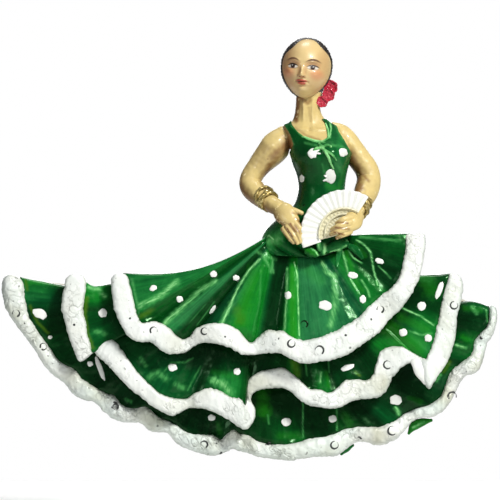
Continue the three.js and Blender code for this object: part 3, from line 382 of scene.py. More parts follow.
def rounded_ends(s):
    """1 along a strip, falling to 0 in a quarter round at each of its ends."""
    side = np.clip(np.minimum(s, 1 - s) / 0.012, 0, 1)
    return np.sqrt(1 - (1 - side) ** 2)


def places_of(bm):
    return np.array([v.co for v in bm.verts])


def keep_values(bm, values):
    """Keeps named numbers on the vertices, for the finish to read."""
    for name, numbers in values.items():
        layer = bm.verts.layers.float.new(name)
        for vertex, number in zip(bm.verts, numbers):
            vertex[layer] = number


def mapped_grid(columns, rows, place):
    """A fine grid whose every vertex place puts where it belongs, from its shares s and t.

    place also gives the named values that are kept on the vertices.
    """
    bm = bmesh.new()
    bmesh.ops.create_grid(bm, x_segments=columns, y_segments=rows, size=0.5)
    flat = places_of(bm)
    low, high = flat.min(0), flat.max(0)
    s = (flat[:, 0] - low[0]) / (high[0] - low[0])
    t = (flat[:, 1] - low[1]) / (high[1] - low[1])
    points, values = place(s, t)
    keep_values(bm, values)
    for vertex, point in zip(bm.verts, points):
        vertex.co = point
    bmesh.ops.remove_doubles(bm, verts=bm.verts[:], dist=WELD)
    bmesh.ops.recalc_face_normals(bm, faces=bm.faces[:])
    return bm


def mesh_of(name, bm):
    """The shape as a mesh. The shape is used up."""
    mesh = bpy.data.meshes.new(name)
    bm.to_mesh(mesh)
    bm.free()
    return mesh


def into_scene(name, data):
    made = bpy.data.objects.new(name, data)
    bpy.context.scene.collection.objects.link(made)
    return made


def add_to(bm, other):
    """Puts a second shape into bm."""
    holder = mesh_of("holder", other)
    bm.from_mesh(holder)
    bpy.data.meshes.remove(holder)


def finished(name, bm, paint, *nodes):
    """The shape as a piece in metres, riding the figure and standing for its plain solids."""
    slot, material = PAINTS[paint]
    mesh = mesh_of(name, bm)
    mesh.transform(Matrix.Scale(MM, 4))
    mesh.materials.append(material)
    mesh.shade_smooth()
    piece = into_scene(name, mesh)
    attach(piece, ROOT)
    if nodes:
        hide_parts(*nodes)
    return piece


def modified(holder):
    """An object's shape with its modifiers in it."""
    whole = holder.evaluated_get(bpy.context.evaluated_depsgraph_get())
    out = bmesh.new()
    out.from_mesh(bpy.data.meshes.new_from_object(whole))
    return out


def blended(bm, grain, passes):
    """Lumps that cross each other, melted into one skin as clay is."""
    holder = into_scene("holder", mesh_of("holder", bm))
    melt = holder.modifiers.new("melt", "REMESH")
    melt.mode = "VOXEL"
    melt.voxel_size = grain
    out = modified(holder)
    bpy.data.objects.remove(holder)
    ways = {"use_axis_x": True, "use_axis_y": True, "use_axis_z": True}
    for _ in range(passes):
        bmesh.ops.smooth_vert(out, verts=out.verts[:], factor=0.5, **ways)
    bmesh.ops.recalc_face_normals(out, faces=out.faces[:])
    return out


def tube(path, radii, flat, columns, rows, wobble=0.0, seed=0.0):
    """A rounded limb along a path of points, with a radius at each, squeezed from front to back."""
    path, radii = np.asarray(path, float), np.asarray(radii, float)

    def place(s, t):
        angle = 2 * math.pi * s
        along = np.clip((t - TUBE_END) / (1 - 2 * TUBE_END), 0, 1)
        centre = even(path, along)
        tangent = even(path, along + 0.01) - even(path, along - 0.01)
        tangent /= np.linalg.norm(tangent, axis=1)[:, None]
        forward = FORWARD - tangent * (tangent @ FORWARD)[:, None]
        forward /= np.linalg.norm(forward, axis=1)[:, None]
        across = np.cross(tangent, forward)
        radius = smooth(radii, along)[:, 0]
        cap = np.clip(np.abs(t - 0.5) - (0.5 - TUBE_END), 0, TUBE_END) / TUBE_END
        bulge = np.sin(cap * math.pi / 2) * np.sign(t - 0.5)
        ring = np.cos(cap * math.pi / 2) * radius
        points = centre + tangent * (bulge * radius * 0.8)[:, None]
        deep, wide = np.cos(angle) * ring * flat, np.sin(angle) * ring
        points += forward * deep[:, None] + across * wide[:, None]
        if wobble:
            points += forward * (rough(points, 0.9, seed) * wobble * ring / radius)[:, None]
        return points, {}

    return mapped_grid(columns, rows, place)


def limbs(parts, columns, rows, wobble):
    """Several tubes in one shape."""
    bm = bmesh.new()
    for part in parts:
        add_to(bm, tube(*part, columns, rows, wobble))
    return bm


def surface_of(*pieces):
    """What a feeler touches from the front: a search tree over finished pieces, in mm."""
    bm = bmesh.new()
    for piece in pieces:
        bm.from_mesh(piece.data)
    bmesh.ops.scale(bm, vec=(1 / MM, 1 / MM, 1 / MM), verts=bm.verts[:])
    tree = BVHTree.FromBMesh(bm)
    bm.free()
    return tree


def depth_at(tree, x, z, otherwise):
    """The depth that a feeler from the front meets at x and z."""
    hit = tree.ray_cast(Vector((x, IN_FRONT, z)), Vector((0, 1, 0)))[0]
    return otherwise if hit is None else hit.y


# ---- The dress --------------------------------------------------------------------------------

SAGGING_END = 0.12  # share of a flounce's width that sags at each end
BEHIND_BAND = 0.25  # share of the band's width that the cloth runs in behind it
BAND_PROUD = 0.75  # how far the lace stands out of the cloth
BAND_THICK = 2.3
LOWER_BAND_BACK = -0.9  # the lowest band is solid to the flat back
STROKE_PAINTS = ("dry_brush_highlight", "warm", "painted_light", "brown")


def fold_height(flounce, s):
    """Height of the folds across the flounce, rounded a little by a narrow running mean."""
    places, heights = np.array(flounce["folds"]).T
    spread = np.linspace(-0.006, 0.006, 5)
    return np.mean([np.interp(s + step, places, heights) for step in spread], axis=0)


def root_of(flounce, s):
    """Where the cloth at each place along the band is gathered."""
    return even(flounce["root"], np.interp(s, *np.array(flounce["pace"]).T))


def flounce_front(flounce, s, v):
    """The front of a flounce: s runs along its band and v from its gathered root to the band."""
    band = smooth(flounce["band"], s)
    outer, inner, forward = band[:, 0:2], band[:, 2:4], band[:, 4]
    root = root_of(flounce, s)
    edge = inner + (outer - inner) * BEHIND_BAND
    flat = root + (edge - root) * v[:, None]
    left, right, late = flounce["sag"]
    near_left = np.clip(1 - s / SAGGING_END, 0, 1) ** 2
    near_right = np.clip(1 - (1 - s) / SAGGING_END, 0, 1) ** 2
    flat[:, 1] -= (near_left * left + near_right * right) * np.sin(math.pi * v**late)
    plain = flounce["root_front"] + (flounce["hem_front"] - flounce["root_front"]) * np.sqrt(v)
    near_band = ease(0.86, 1, v)
    folds = fold_height(flounce, s) * v ** flounce["growth"]
    lift = folds * (1 - near_band) + (forward - 0.15) * near_band
    return np.column_stack([flat[:, 0], -(plain + lift), flat[:, 1]])


def near_path(flat, path):
    """How far each (x, z) lies from a path."""
    best = np.full(len(flat), 99.0)
    for a, b in zip(np.array(path)[:-1], np.array(path)[1:]):
        run = b - a
        share = np.clip(((flat - a) @ run) / (run @ run), 0, 1)
        best = np.minimum(best, np.linalg.norm(flat - a - share[:, None] * run, axis=1))
    return best


def brushed(flat, strokes):
    """The cover of each paint's strokes at every (x, z)."""
    cover = {paint: np.zeros(len(flat)) for paint in STROKE_PAINTS}
    for number, (path, wide, strength, paint) in enumerate(strokes):
        ragged = 1 + 0.45 * rough(np.column_stack([flat, np.full(len(flat), number * 3.0)]), 0.6)
        stroke = strength * (1 - ease(0.1, 1.6, near_path(flat, path) / (wide * ragged)))
        cover[paint] = np.maximum(cover[paint], stroke)
    return cover


def build_flounce(name):
    """The green cloth of one flounce, from its gathers to its band, filled in behind."""
    flounce = FLOUNCES[name]

    def place(s, t):
        front, v = both_faces(t)
        points = flounce_front(flounce, s, v)
        cover = brushed(points[:, [0, 2]], BRUSHWORK[name])
        ridges = 0.08 * cover["dry_brush_highlight"] * (v < 0.97)
        points[:, 1] -= 0.1 * rough(points, 2.2) + 0.05 * rough(points, 0.8, 3) + ridges
        solid = np.maximum(flounce["back"] - points[:, 1], flounce["wall"])
        wall = solid + (flounce["wall"] - solid) * ease(0.7, 0.95, v)
        low_edge = np.sqrt(np.clip(1 - ease(0.94, 1, v), 0, 1))
        half = wall / 2 * rounded_ends(s) * low_edge
        points[:, 1] += wall / 2 + np.where(front, -half, half)
        hem = flounce_front(flounce, s, np.ones_like(s))[:, [0, 2]]
        # Painted light and shade of the folds along the band, with a bluish painted sheen, and painted
        # shade under the flounce above.
        places, light, blue_tint_and_sheen = np.array(FOLD_SHADING_GREENS[name]).T
        tucked = flounce["tucked"]
        return points, {
            "down": v * np.linalg.norm(hem - root_of(flounce, s), axis=1), "along": s * 60,
            "tuck_shade": np.clip((v - tucked) / (1 - tucked), 0, 1),
            "light": np.interp(s, places, light), "blue_tint_and_sheen": np.interp(s, places, blue_tint_and_sheen),
            "dry_brush_highlight": cover["dry_brush_highlight"], "warm": cover["warm"], "painted_light": cover["painted_light"],
        }

    return finished(f"{name}_flounce", mapped_grid(560, 110, place), "green", f"{name}_flounce")


def build_band(name):
    """The white lace band along a hem: a thick rounded strip."""
    flounce = FLOUNCES[name]
    knobs = flounce["knobs"]
    steps = np.linspace(0, 1, 600)
    walk = smooth(flounce["band"], steps)
    run = lengths_along((walk[:, 0:2] + walk[:, 2:4]) / 2)

    def place(s, t):
        angle = 2 * math.pi * t + math.pi / 2
        band = smooth(flounce["band"], s)
        outer, inner, forward = band[:, 0:2], band[:, 2:4], band[:, 4]
        rounding = rounded_ends(s)
        across = np.sign(np.cos(angle)) * np.abs(np.cos(angle)) ** 0.6
        deep = np.sign(np.sin(angle)) * np.abs(np.sin(angle)) ** 0.7
        walked = np.interp(s, steps, run)
        on_band = np.column_stack([walked, across, t * 0])
        waver = 1 + 0.09 * rough(np.column_stack([walked, across * 2, t * 0]), 2.4, 5)
        waver += 0.085 * rough(on_band, 0.75, 7) + 0.04 * rough(on_band, 0.32, 9)
        flat = (outer + inner) / 2 + (outer - inner) / 2 * (across * rounding * waver * 1.02)[:, None]
        front = -(flounce["hem_front"] + forward + BAND_PROUD)
        back = np.full_like(front, LOWER_BAND_BACK) if name == "lower" else front + BAND_THICK
        y = (front + back) / 2 + deep * (back - front) / 2 * rounding
        points = np.column_stack([flat[:, 0], y, flat[:, 1]])
        knobbly = knobs * rough(points, 1.5, 2) + knobs * 0.75 * rough(points, 0.55, 4)
        points[:, 1] -= knobbly * (deep < 0)
        dirt_and_shade = np.interp(s, *np.array(GRIME_AND_SHADE[name]).T)
        return points, {"along": walked, "across": across, "deep": deep, "dirt_and_shade": dirt_and_shade}

    return finished(f"{name}_trim", mapped_grid(620, 56, place), f"white_{name}", f"{name}_trim")


# ---- Finishes ---------------------------------------------------------------------------------


class Nodes:
    """A node tree, with short ways to add to it."""

    def __init__(self, tree):
        self.tree = tree

    def node(self, kind, **settings):
        family = "NodeGroup" if kind in ("Input", "Output") else "ShaderNode"
        made = self.tree.nodes.new(family + kind)
        for name, value in settings.items():
            setattr(made, name, value)
        return made

    def feed(self, socket, value):
        if isinstance(value, bpy.types.NodeSocket):
            self.tree.links.new(value, socket)
        elif isinstance(value, tuple) and len(value) == 3 and socket.type == "RGBA":
            socket.default_value = (*value, 1)
        else:
            socket.default_value = value

    def math(self, operation, *values, clamp=False):
        made = self.node("Math", operation=operation, use_clamp=clamp)
        for socket, value in zip(made.inputs, values):
            self.feed(socket, value)
        return made.outputs[0]

    def times(self, a, b, clamp=False):
        return self.math("MULTIPLY", a, b, clamp=clamp)

    def plus(self, a, b):
        return self.math("ADD", a, b)

    def minus(self, a, b):
        return self.math("SUBTRACT", a, b)

    def unsigned(self, value):
        return self.math("ABSOLUTE", value)

    def far(self, a, b):
        """How far (a, b) is from (0, 0)."""
        return self.math("SQRT", self.plus(self.times(a, a), self.times(b, b)))

    def line_at(self, value, place, sharp):
        """1 where a value passes a place, fading to 0 on both sides of it."""
        off = self.unsigned(self.minus(value, place))
        return self.math("SUBTRACT", 1.0, self.times(off, sharp), clamp=True)

    def mix(self, share, a, b):
        made = self.node("Mix", data_type="RGBA")
        self.feed(made.inputs[0], share)
        self.feed(made.inputs[6], a)
        self.feed(made.inputs[7], b)
        return made.outputs[2]

    def layered(self, colour, *layers):
        """Lays tints over a colour in turn. Each: where it goes, its strength and its colour."""
        for mask, strength, tint in layers:
            colour = self.mix(self.times(mask, strength), colour, tint)
        return colour

    def span(self, value, low, high, to_low=0.0, to_high=1.0):
        """Softly stretches low to high over to_low to to_high."""
        made = self.node("MapRange", interpolation_type="SMOOTHSTEP")
        self.feed(made.inputs["Value"], value)
        ends = {"From Min": low, "From Max": high, "To Min": to_low, "To Max": to_high}
        for name, number in ends.items():
            made.inputs[name].default_value = number
        return made.outputs["Result"]

    def noise(self, scale, detail=2.0, vector=None, roughness=0.5):
        made = self.node("TexNoise")
        made.inputs["Detail"].default_value = detail
        made.inputs["Roughness"].default_value = roughness
        self.feed(made.inputs["Scale"], scale)
        self.feed(made.inputs["Vector"], vector or self.node("TexCoord").outputs["Object"])
        return made.outputs["Fac"]

    def kept(self, *names):
        """Values kept on the piece's vertices."""
        return [self.node("Attribute", attribute_name=name).outputs["Fac"] for name in names]

    def ramp(self, value, *stops):
        made = self.node("ValToRGB")
        self.feed(made.inputs["Fac"], value)
        marks = made.color_ramp.elements
        while len(marks) < len(stops):
            marks.new(0.5)
        for mark, (place, colour) in zip(marks, stops):
            mark.position = place
            mark.color = (*colour, 1)
        return made.outputs["Color"]

    def vector(self, x, y, z):
        made = self.node("CombineXYZ")
        for socket, value in zip(made.inputs, (x, y, z)):
            self.feed(socket, value)
        return made.outputs["Vector"]

    def axes(self, kind):
        """The X, Y and Z of a texture coordinate."""
        parts = self.node("SeparateXYZ")
        self.feed(parts.inputs[0], self.node("TexCoord").outputs[kind])
        return [parts.outputs[axis] for axis in "XYZ"]

    def stretched(self, *factors):
        """Places on the piece, each axis times its factor."""
        axes = self.axes("Object")
        return self.vector(*(self.times(axis, factor) for axis, factor in zip(axes, factors)))

    def group(self, tree, **values):
        made = self.node("Group", node_tree=tree)
        for name, value in values.items():
            self.feed(made.inputs[name], value)
        return made.outputs


class Finish(Nodes):
    """A material over the skin that all the cast resin shares."""

    def __init__(self, name, size, pits):
        self.material = bpy.data.materials.new(name)
        self.material.use_nodes = True
        super().__init__(self.material.node_tree)
        self.tree.nodes.clear()
        self.shader = self.node("BsdfPrincipled")
        output = self.node("OutputMaterial")
        self.feed(output.inputs["Surface"], self.shader.outputs["BSDF"])
        skin = self.group(CAST_SURFACE, Size=size, Pits=pits)
        self.mottle, self.pit, self.height = skin["Mottle"], skin["Pit"], skin["Height"]

    def mottled(self, low, high):
        """A value that wanders between two with the mottling."""
        return self.span(self.mottle, 0.3, 0.7, low, high)

    def bump(self, height, strength, distance):
        made = self.node("Bump")
        self.feed(made.inputs["Height"], height)
        made.inputs["Strength"].default_value = strength
        made.inputs["Distance"].default_value = distance
        self.feed(self.shader.inputs["Normal"], made.outputs["Normal"])

    def done(self, **values):
        """The material, with these values in its shader."""
        for name, value in values.items():
            self.feed(self.shader.inputs[name.replace("_", " ")], value)
        return self.material


def shared_effect(name, inputs, outputs):
    """A node group: its helper, its input sockets and its output sockets."""
    tree = bpy.data.node_groups.new(name, "ShaderNodeTree")
    for label, value in inputs.items():
        socket = tree.interface.new_socket(name=label, in_out="INPUT", socket_type="NodeSocketFloat")
        socket.default_value = value
    for label in outputs:
        tree.interface.new_socket(name=label, in_out="OUTPUT", socket_type="NodeSocketFloat")
    effect = Nodes(tree)
    return effect, effect.node("Input").outputs, effect.node("Output").inputs


def make_cast_surface():
    """The skin of painted cast resin: slow mottling, brushed grain, and a few air-bubble pits."""
    effect, given, result = shared_effect(
        "cast_surface", {"Size": 500.0, "Pits": 0.5}, ("Mottle", "Pit", "Height")
    )
    mottle = effect.noise(given["Size"], 3)
    grain = effect.noise(2600, 2)
    cells = effect.node("TexVoronoi")
    cells.inputs["Scale"].default_value = 320
    effect.feed(cells.inputs["Vector"], effect.node("TexCoord").outputs["Object"])
    dot = effect.span(cells.outputs["Distance"], 0.05, 0.13, 1, 0)
    rare = effect.math("GREATER_THAN", effect.noise(210, 1), 0.64)
    pit = effect.times(effect.times(dot, rare), given["Pits"])
    height = effect.plus(effect.times(mottle, 0.6), effect.times(grain, 0.25))
    effect.feed(result["Mottle"], mottle)
    effect.feed(result["Pit"], pit)
    effect.feed(result["Height"], effect.minus(height, effect.times(pit, 1.6)))
    return effect.tree


def make_crease_shade_and_crest_highlight():
    """Darkening in creases, as thin dark paint run into them and as painted shade, and lightening on
    crests, as a dry brush and as painted highlight.
    """
    effect, given, result = shared_effect("crease_shade_and_crest_highlight", {"Size": 900.0}, ("Crease", "Crest"))
    shape = effect.node("NewGeometry").outputs["Pointiness"]
    uneven = effect.math("MULTIPLY_ADD", effect.noise(given["Size"]), 0.06, -0.03)
    broken_shading = effect.plus(shape, uneven)
    effect.feed(result["Crease"], effect.span(broken_shading, 0.42, 0.5, 1, 0))
    effect.feed(result["Crest"], effect.span(broken_shading, 0.51, 0.6))
    return effect.tree


CAST_SURFACE = make_cast_surface()
CREASE_SHADE_AND_CREST_HIGHLIGHT = make_crease_shade_and_crest_highlight()

# Greens, and bluish greens for the painted sheen, from the darkest painted shade to the lightest painted
# light.
SHADE_TO_LIGHT_GREENS = (
    (0, (0.0006, 0.014, 0.0025)), (0.2, (0.0008, 0.03, 0.004)), (0.45, (0.0012, 0.075, 0.008)),
    (0.7, (0.004, 0.17, 0.015)), (1, (0.014, 0.28, 0.02)),
)
SHADE_TO_LIGHT_BLUISH_GREENS = (
    (0, (0.0005, 0.005, 0.003)), (0.4, (0.002, 0.06, 0.025)), (0.7, (0.028, 0.21, 0.07)),
    (1, (0.08, 0.38, 0.16)),
)
# Greens of the pale dry brush on the crests, which also stands for painted highlights.
DRY_BRUSH_HIGHLIGHT_GREENS = ((0, (0.02, 0.24, 0.05)), (0.5, (0.1, 0.45, 0.12)), (1, (0.36, 0.8, 0.32)))


def green_enamel():
    """Glossy emerald enamel: painted light and shade across its folds, near black in painted shade under
    the flounce above, with the brush work, painted highlights and painted light laid over it.
    """
    finish = Finish("green_enamel", 420.0, 0.8)
    down, along, tuck_shade, light, blue_tint_and_sheen = finish.kept("down", "along", "tuck_shade", "light", "blue_tint_and_sheen")
    dry_brush_highlight, warm, painted_light = finish.kept("dry_brush_highlight", "warm", "painted_light")
    drawn = finish.vector(finish.times(along, 2.4), finish.times(down, 0.16), 0.0)
    streak = finish.math("MULTIPLY_ADD", finish.noise(1.0, 3, drawn), 0.42, -0.21)
    # The painted level of light and shade: fold shading, random streaks and painted light patches.
    level = finish.plus(finish.plus(light, streak), finish.times(painted_light, 0.2))
    level = finish.plus(level, finish.math("MULTIPLY_ADD", finish.mottle, 0.24, -0.12))
    # Painted shade where the cloth runs in under the flounce above.
    level = finish.times(level, finish.span(tuck_shade, 0.05, 0.6, 0.1, 1), clamp=True)
    # Bluish painted sheen, painted light on lit panels and a yellow-green dry brush over the greens.
    colour = finish.layered(
        finish.ramp(level, *SHADE_TO_LIGHT_GREENS),
        (blue_tint_and_sheen, 0.85, finish.ramp(level, *SHADE_TO_LIGHT_BLUISH_GREENS)),
        (painted_light, 0.6, (0.012, 0.18, 0.005)),
        (warm, 0.8, (0.07, 0.17, 0.008)),
    )
    # Pale dry brush that also stands for painted highlights, broken up along the drag of the brush.
    drag = finish.vector(finish.times(along, 2.6), finish.times(down, 0.5), 0.0)
    broken = finish.span(finish.noise(1.0, 4, drag, 0.65), 0.36, 0.6, 0.5, 1)
    dry_brush_highlight = finish.times(dry_brush_highlight, broken, clamp=True)
    colour = finish.mix(dry_brush_highlight, colour, finish.ramp(dry_brush_highlight, *DRY_BRUSH_HIGHLIGHT_GREENS))
    colour = finish.mix(finish.pit, colour, (0.0005, 0.003, 0.001))
    finish.bump(finish.height, 0.4, 0.00014)
    return finish.done(
        Base_Color=colour, Roughness=finish.plus(finish.mottled(0.16, 0.32), finish.times(dry_brush_highlight, 0.3)),
        Specular_IOR_Level=0.27, Specular_Tint=(0.4, 0.9, 0.42), Coat_Weight=0.045, Coat_Roughness=0.1,
    )


def white_paint(name, grime_and_shade):
    """White paint over moulded lace: faint rings and leaves, grey-green wash in the grooves, grime and
    painted shade in patches, and painted shade along its edges and its lower side.
    """
    finish = Finish(name, 700.0, 1.0)
    along, across, deep, dirt_and_shade = finish.kept("along", "across", "deep", "dirt_and_shade")
    bent = finish.times(finish.minus(finish.noise(330, 2), 0.5), 2.2)
    cell = finish.math("FRACT", finish.times(along, 0.23))
    place_u = finish.plus(finish.times(finish.minus(cell, 0.5), 4.35), bent)
    place_v = finish.plus(finish.times(across, 1.6), finish.times(bent, 0.7))
    ring = finish.line_at(finish.far(place_u, place_v), 0.75, 4.5)
    side_u = finish.minus(2.15, finish.unsigned(place_u))
    leaf = finish.line_at(finish.far(finish.times(side_u, 0.8), finish.times(place_v, 0.8)), 0.6, 6.0)
    lace = finish.math("MAXIMUM", ring, finish.times(leaf, 0.8))
    lace = finish.times(lace, finish.span(finish.noise(230, 3), 0.45, 0.62))
    drawn = finish.times(lace, finish.span(deep, -0.6, -0.2, 1, 0))
    # Painted shade along both edges of the band, broken up by noise.
    broken_shading = finish.span(finish.noise(300, 3), 0.34, 0.66, 0.35, 1)
    rim = finish.times(finish.span(finish.unsigned(across), 0.72, 1.0), broken_shading)
    # Painted shade on the band's lower, outer side, in patches.
    patchy = finish.span(finish.noise(170, 3), 0.35, 0.6, 0.3, 1)
    outer = finish.times(finish.span(across, 0.35, 0.95), patchy)
    wander = finish.unsigned(finish.minus(finish.noise(560, 2), 0.5))
    broken = finish.span(finish.noise(240, 2), 0.46, 0.6)
    groove = finish.times(finish.span(wander, 0.006, 0.06, 1, 0), broken)
    fleck = finish.span(finish.noise(1500, 1), 0.7, 0.76)
    # Grime and painted shade in blotches, as the table along the band gives.
    blotch = finish.times(finish.span(finish.noise(190, 3), 0.3, 0.7), dirt_and_shade)
    colour = finish.layered(
        (0.84, 0.86, 0.83),
        # Grey-green patches of grime and painted shade, stronger on the lower bands.
        (finish.span(finish.noise(75, 2), 0.35, 0.65), grime_and_shade, (0.66, 0.76, 0.7)),
        (blotch, 0.85, (0.4, 0.4, 0.27)),
        (rim, 0.5 + 0.4 * grime_and_shade, (0.36, 0.4, 0.32)),
        (drawn, 0.14 + 0.24 * grime_and_shade, (0.2, 0.22, 0.19)),
        (outer, 0.3 + 0.35 * grime_and_shade, (0.42, 0.48, 0.44)),
        (groove, 0.17 + 0.3 * grime_and_shade, (0.26, 0.28, 0.22)),
        (fleck, 0.35 + 0.4 * grime_and_shade, (0.05, 0.055, 0.045)),
        (finish.pit, 1.0, (0.02, 0.022, 0.02)),
    )
    height = finish.minus(finish.height, finish.times(groove, 0.5))
    height = finish.minus(height, finish.times(lace, 0.3 + 0.5 * grime_and_shade))
    finish.bump(height, 0.75, 0.0002)
    return finish.done(Base_Color=colour, Roughness=finish.mottled(0.32, 0.5), Coat_Weight=0.15)


def painted(name, light, dark, crest=None, wash=0.8, gloss=(0.3, 0.5), coat=0.1, shaded=0.0, metal=0.0,
            shadow_brown=None):
    """A brushed paint: its colour, darkening in its creases as wash and painted shade, painted shade on its
    sides turned from the light if shaded, brown painted into its shadows if given, and a lighter dry brush
    and painted highlight on its crests.
    """
    finish = Finish(name, 600.0, 0.35)
    creases = finish.group(CREASE_SHADE_AND_CREST_HIGHLIGHT, Size=600.0)
    tone = finish.span(finish.mottle, 0.35, 0.75, 0, 0.35)
    colour = finish.mix(tone, light, tuple(l * 0.55 + d * 0.45 for l, d in zip(light, dark)))
    if shaded:
        # Painted shade on the sides turned down and to the left, away from the key light.
        x, _, z = finish.axes("Normal")
        low = finish.math("MULTIPLY_ADD", z, -0.5, 0.1)
        away = finish.math("MULTIPLY_ADD", x, -0.65, low)
        facing_away_shade = finish.span(finish.plus(away, finish.times(finish.mottle, 0.3)), 0.2, 1.0)
        colour = finish.layered(colour, (facing_away_shade, shaded, dark))
    if shadow_brown:
        # Brown painted where the skin's shadows fall.
        broken = finish.span(finish.noise(420, 3), 0.3, 0.65, 0.55, 1)
        brown = finish.times(*finish.kept("brown"), broken, clamp=True)
        colour = finish.mix(brown, colour, shadow_brown)
    # Wash and painted shade in the creases.
    colour = finish.layered(colour, (creases["Crease"], wash, dark))
    if crest:
        # Dry brush and painted highlight on the crests.
        colour = finish.layered(colour, (creases["Crest"], 0.8, crest))
    colour = finish.mix(finish.pit, colour, tuple(0.3 * d for d in dark))
    finish.bump(finish.height, 0.2, 0.0001)
    shine = finish.mottled(*gloss)
    return finish.done(Base_Color=colour, Roughness=shine, Coat_Weight=coat, Metallic=metal)


def hair_paint():
    """Near-black paint over combed grooves that run back to the bun."""
    finish = Finish("hair_paint", 800.0, 0.2)
    strand = finish.noise(1.0, 2, finish.stretched(2600.0, 260.0, 700.0))
    colour = finish.mix(finish.span(strand, 0.5, 0.75), (0.012, 0.009, 0.008), (0.07, 0.045, 0.03))
    finish.bump(finish.plus(strand, finish.height), 0.6, 0.00015)
    gloss = finish.span(strand, 0.3, 0.7, 0.28, 0.5)
    return finish.done(Base_Color=colour, Roughness=gloss, Coat_Weight=0.2)


def bare_resin():
    """Unpainted resin, ground flat on a belt: fine straight scratches, dust, and open air bubbles."""
    finish = Finish("bare_resin", 180.0, 1.0)
    scratch = finish.noise(1.0, 3, finish.stretched(90.0, 500.0, 4200.0))
    colour = finish.mix(finish.span(finish.mottle, 0.35, 0.7), (0.74, 0.7, 0.6), (0.58, 0.54, 0.44))
    colour = finish.mix(finish.span(scratch, 0.55, 0.75, 0, 0.4), colour, (0.85, 0.83, 0.76))
    colour = finish.mix(finish.pit, colour, (0.16, 0.14, 0.1))
    finish.bump(finish.plus(finish.height, finish.times(scratch, 0.5)), 0.5, 0.00015)
    return finish.done(Base_Color=colour, Roughness=finish.span(scratch, 0.3, 0.7, 0.5, 0.72))


def ferrite():
    """Dark sintered ferrite: matt, with dusty scuffs."""
    finish = Finish("ferrite", 900.0, 0.6)
    scuff = finish.noise(140, 4, roughness=0.7)
    colour = finish.mix(finish.span(scuff, 0.5, 0.75), (0.022, 0.022, 0.025), (0.09, 0.09, 0.095))
    colour = finish.mix(finish.pit, colour, (0.006, 0.006, 0.006))
    finish.bump(finish.height, 0.5, 0.0001)
    gloss = finish.span(scuff, 0.3, 0.7, 0.42, 0.65)
    return finish.done(Base_Color=colour, Roughness=gloss, Metallic=0.15)


def set_glue():
    """Set epoxy: amber, glossy, with small bubbles."""
    finish = Finish("glue", 500.0, 0.8)
    colour = finish.mix(finish.mottle, (0.66, 0.55, 0.3), (0.8, 0.72, 0.5))
    finish.bump(finish.height, 0.4, 0.0002)
    return finish.done(Base_Color=colour, Roughness=finish.mottled(0.15, 0.3))


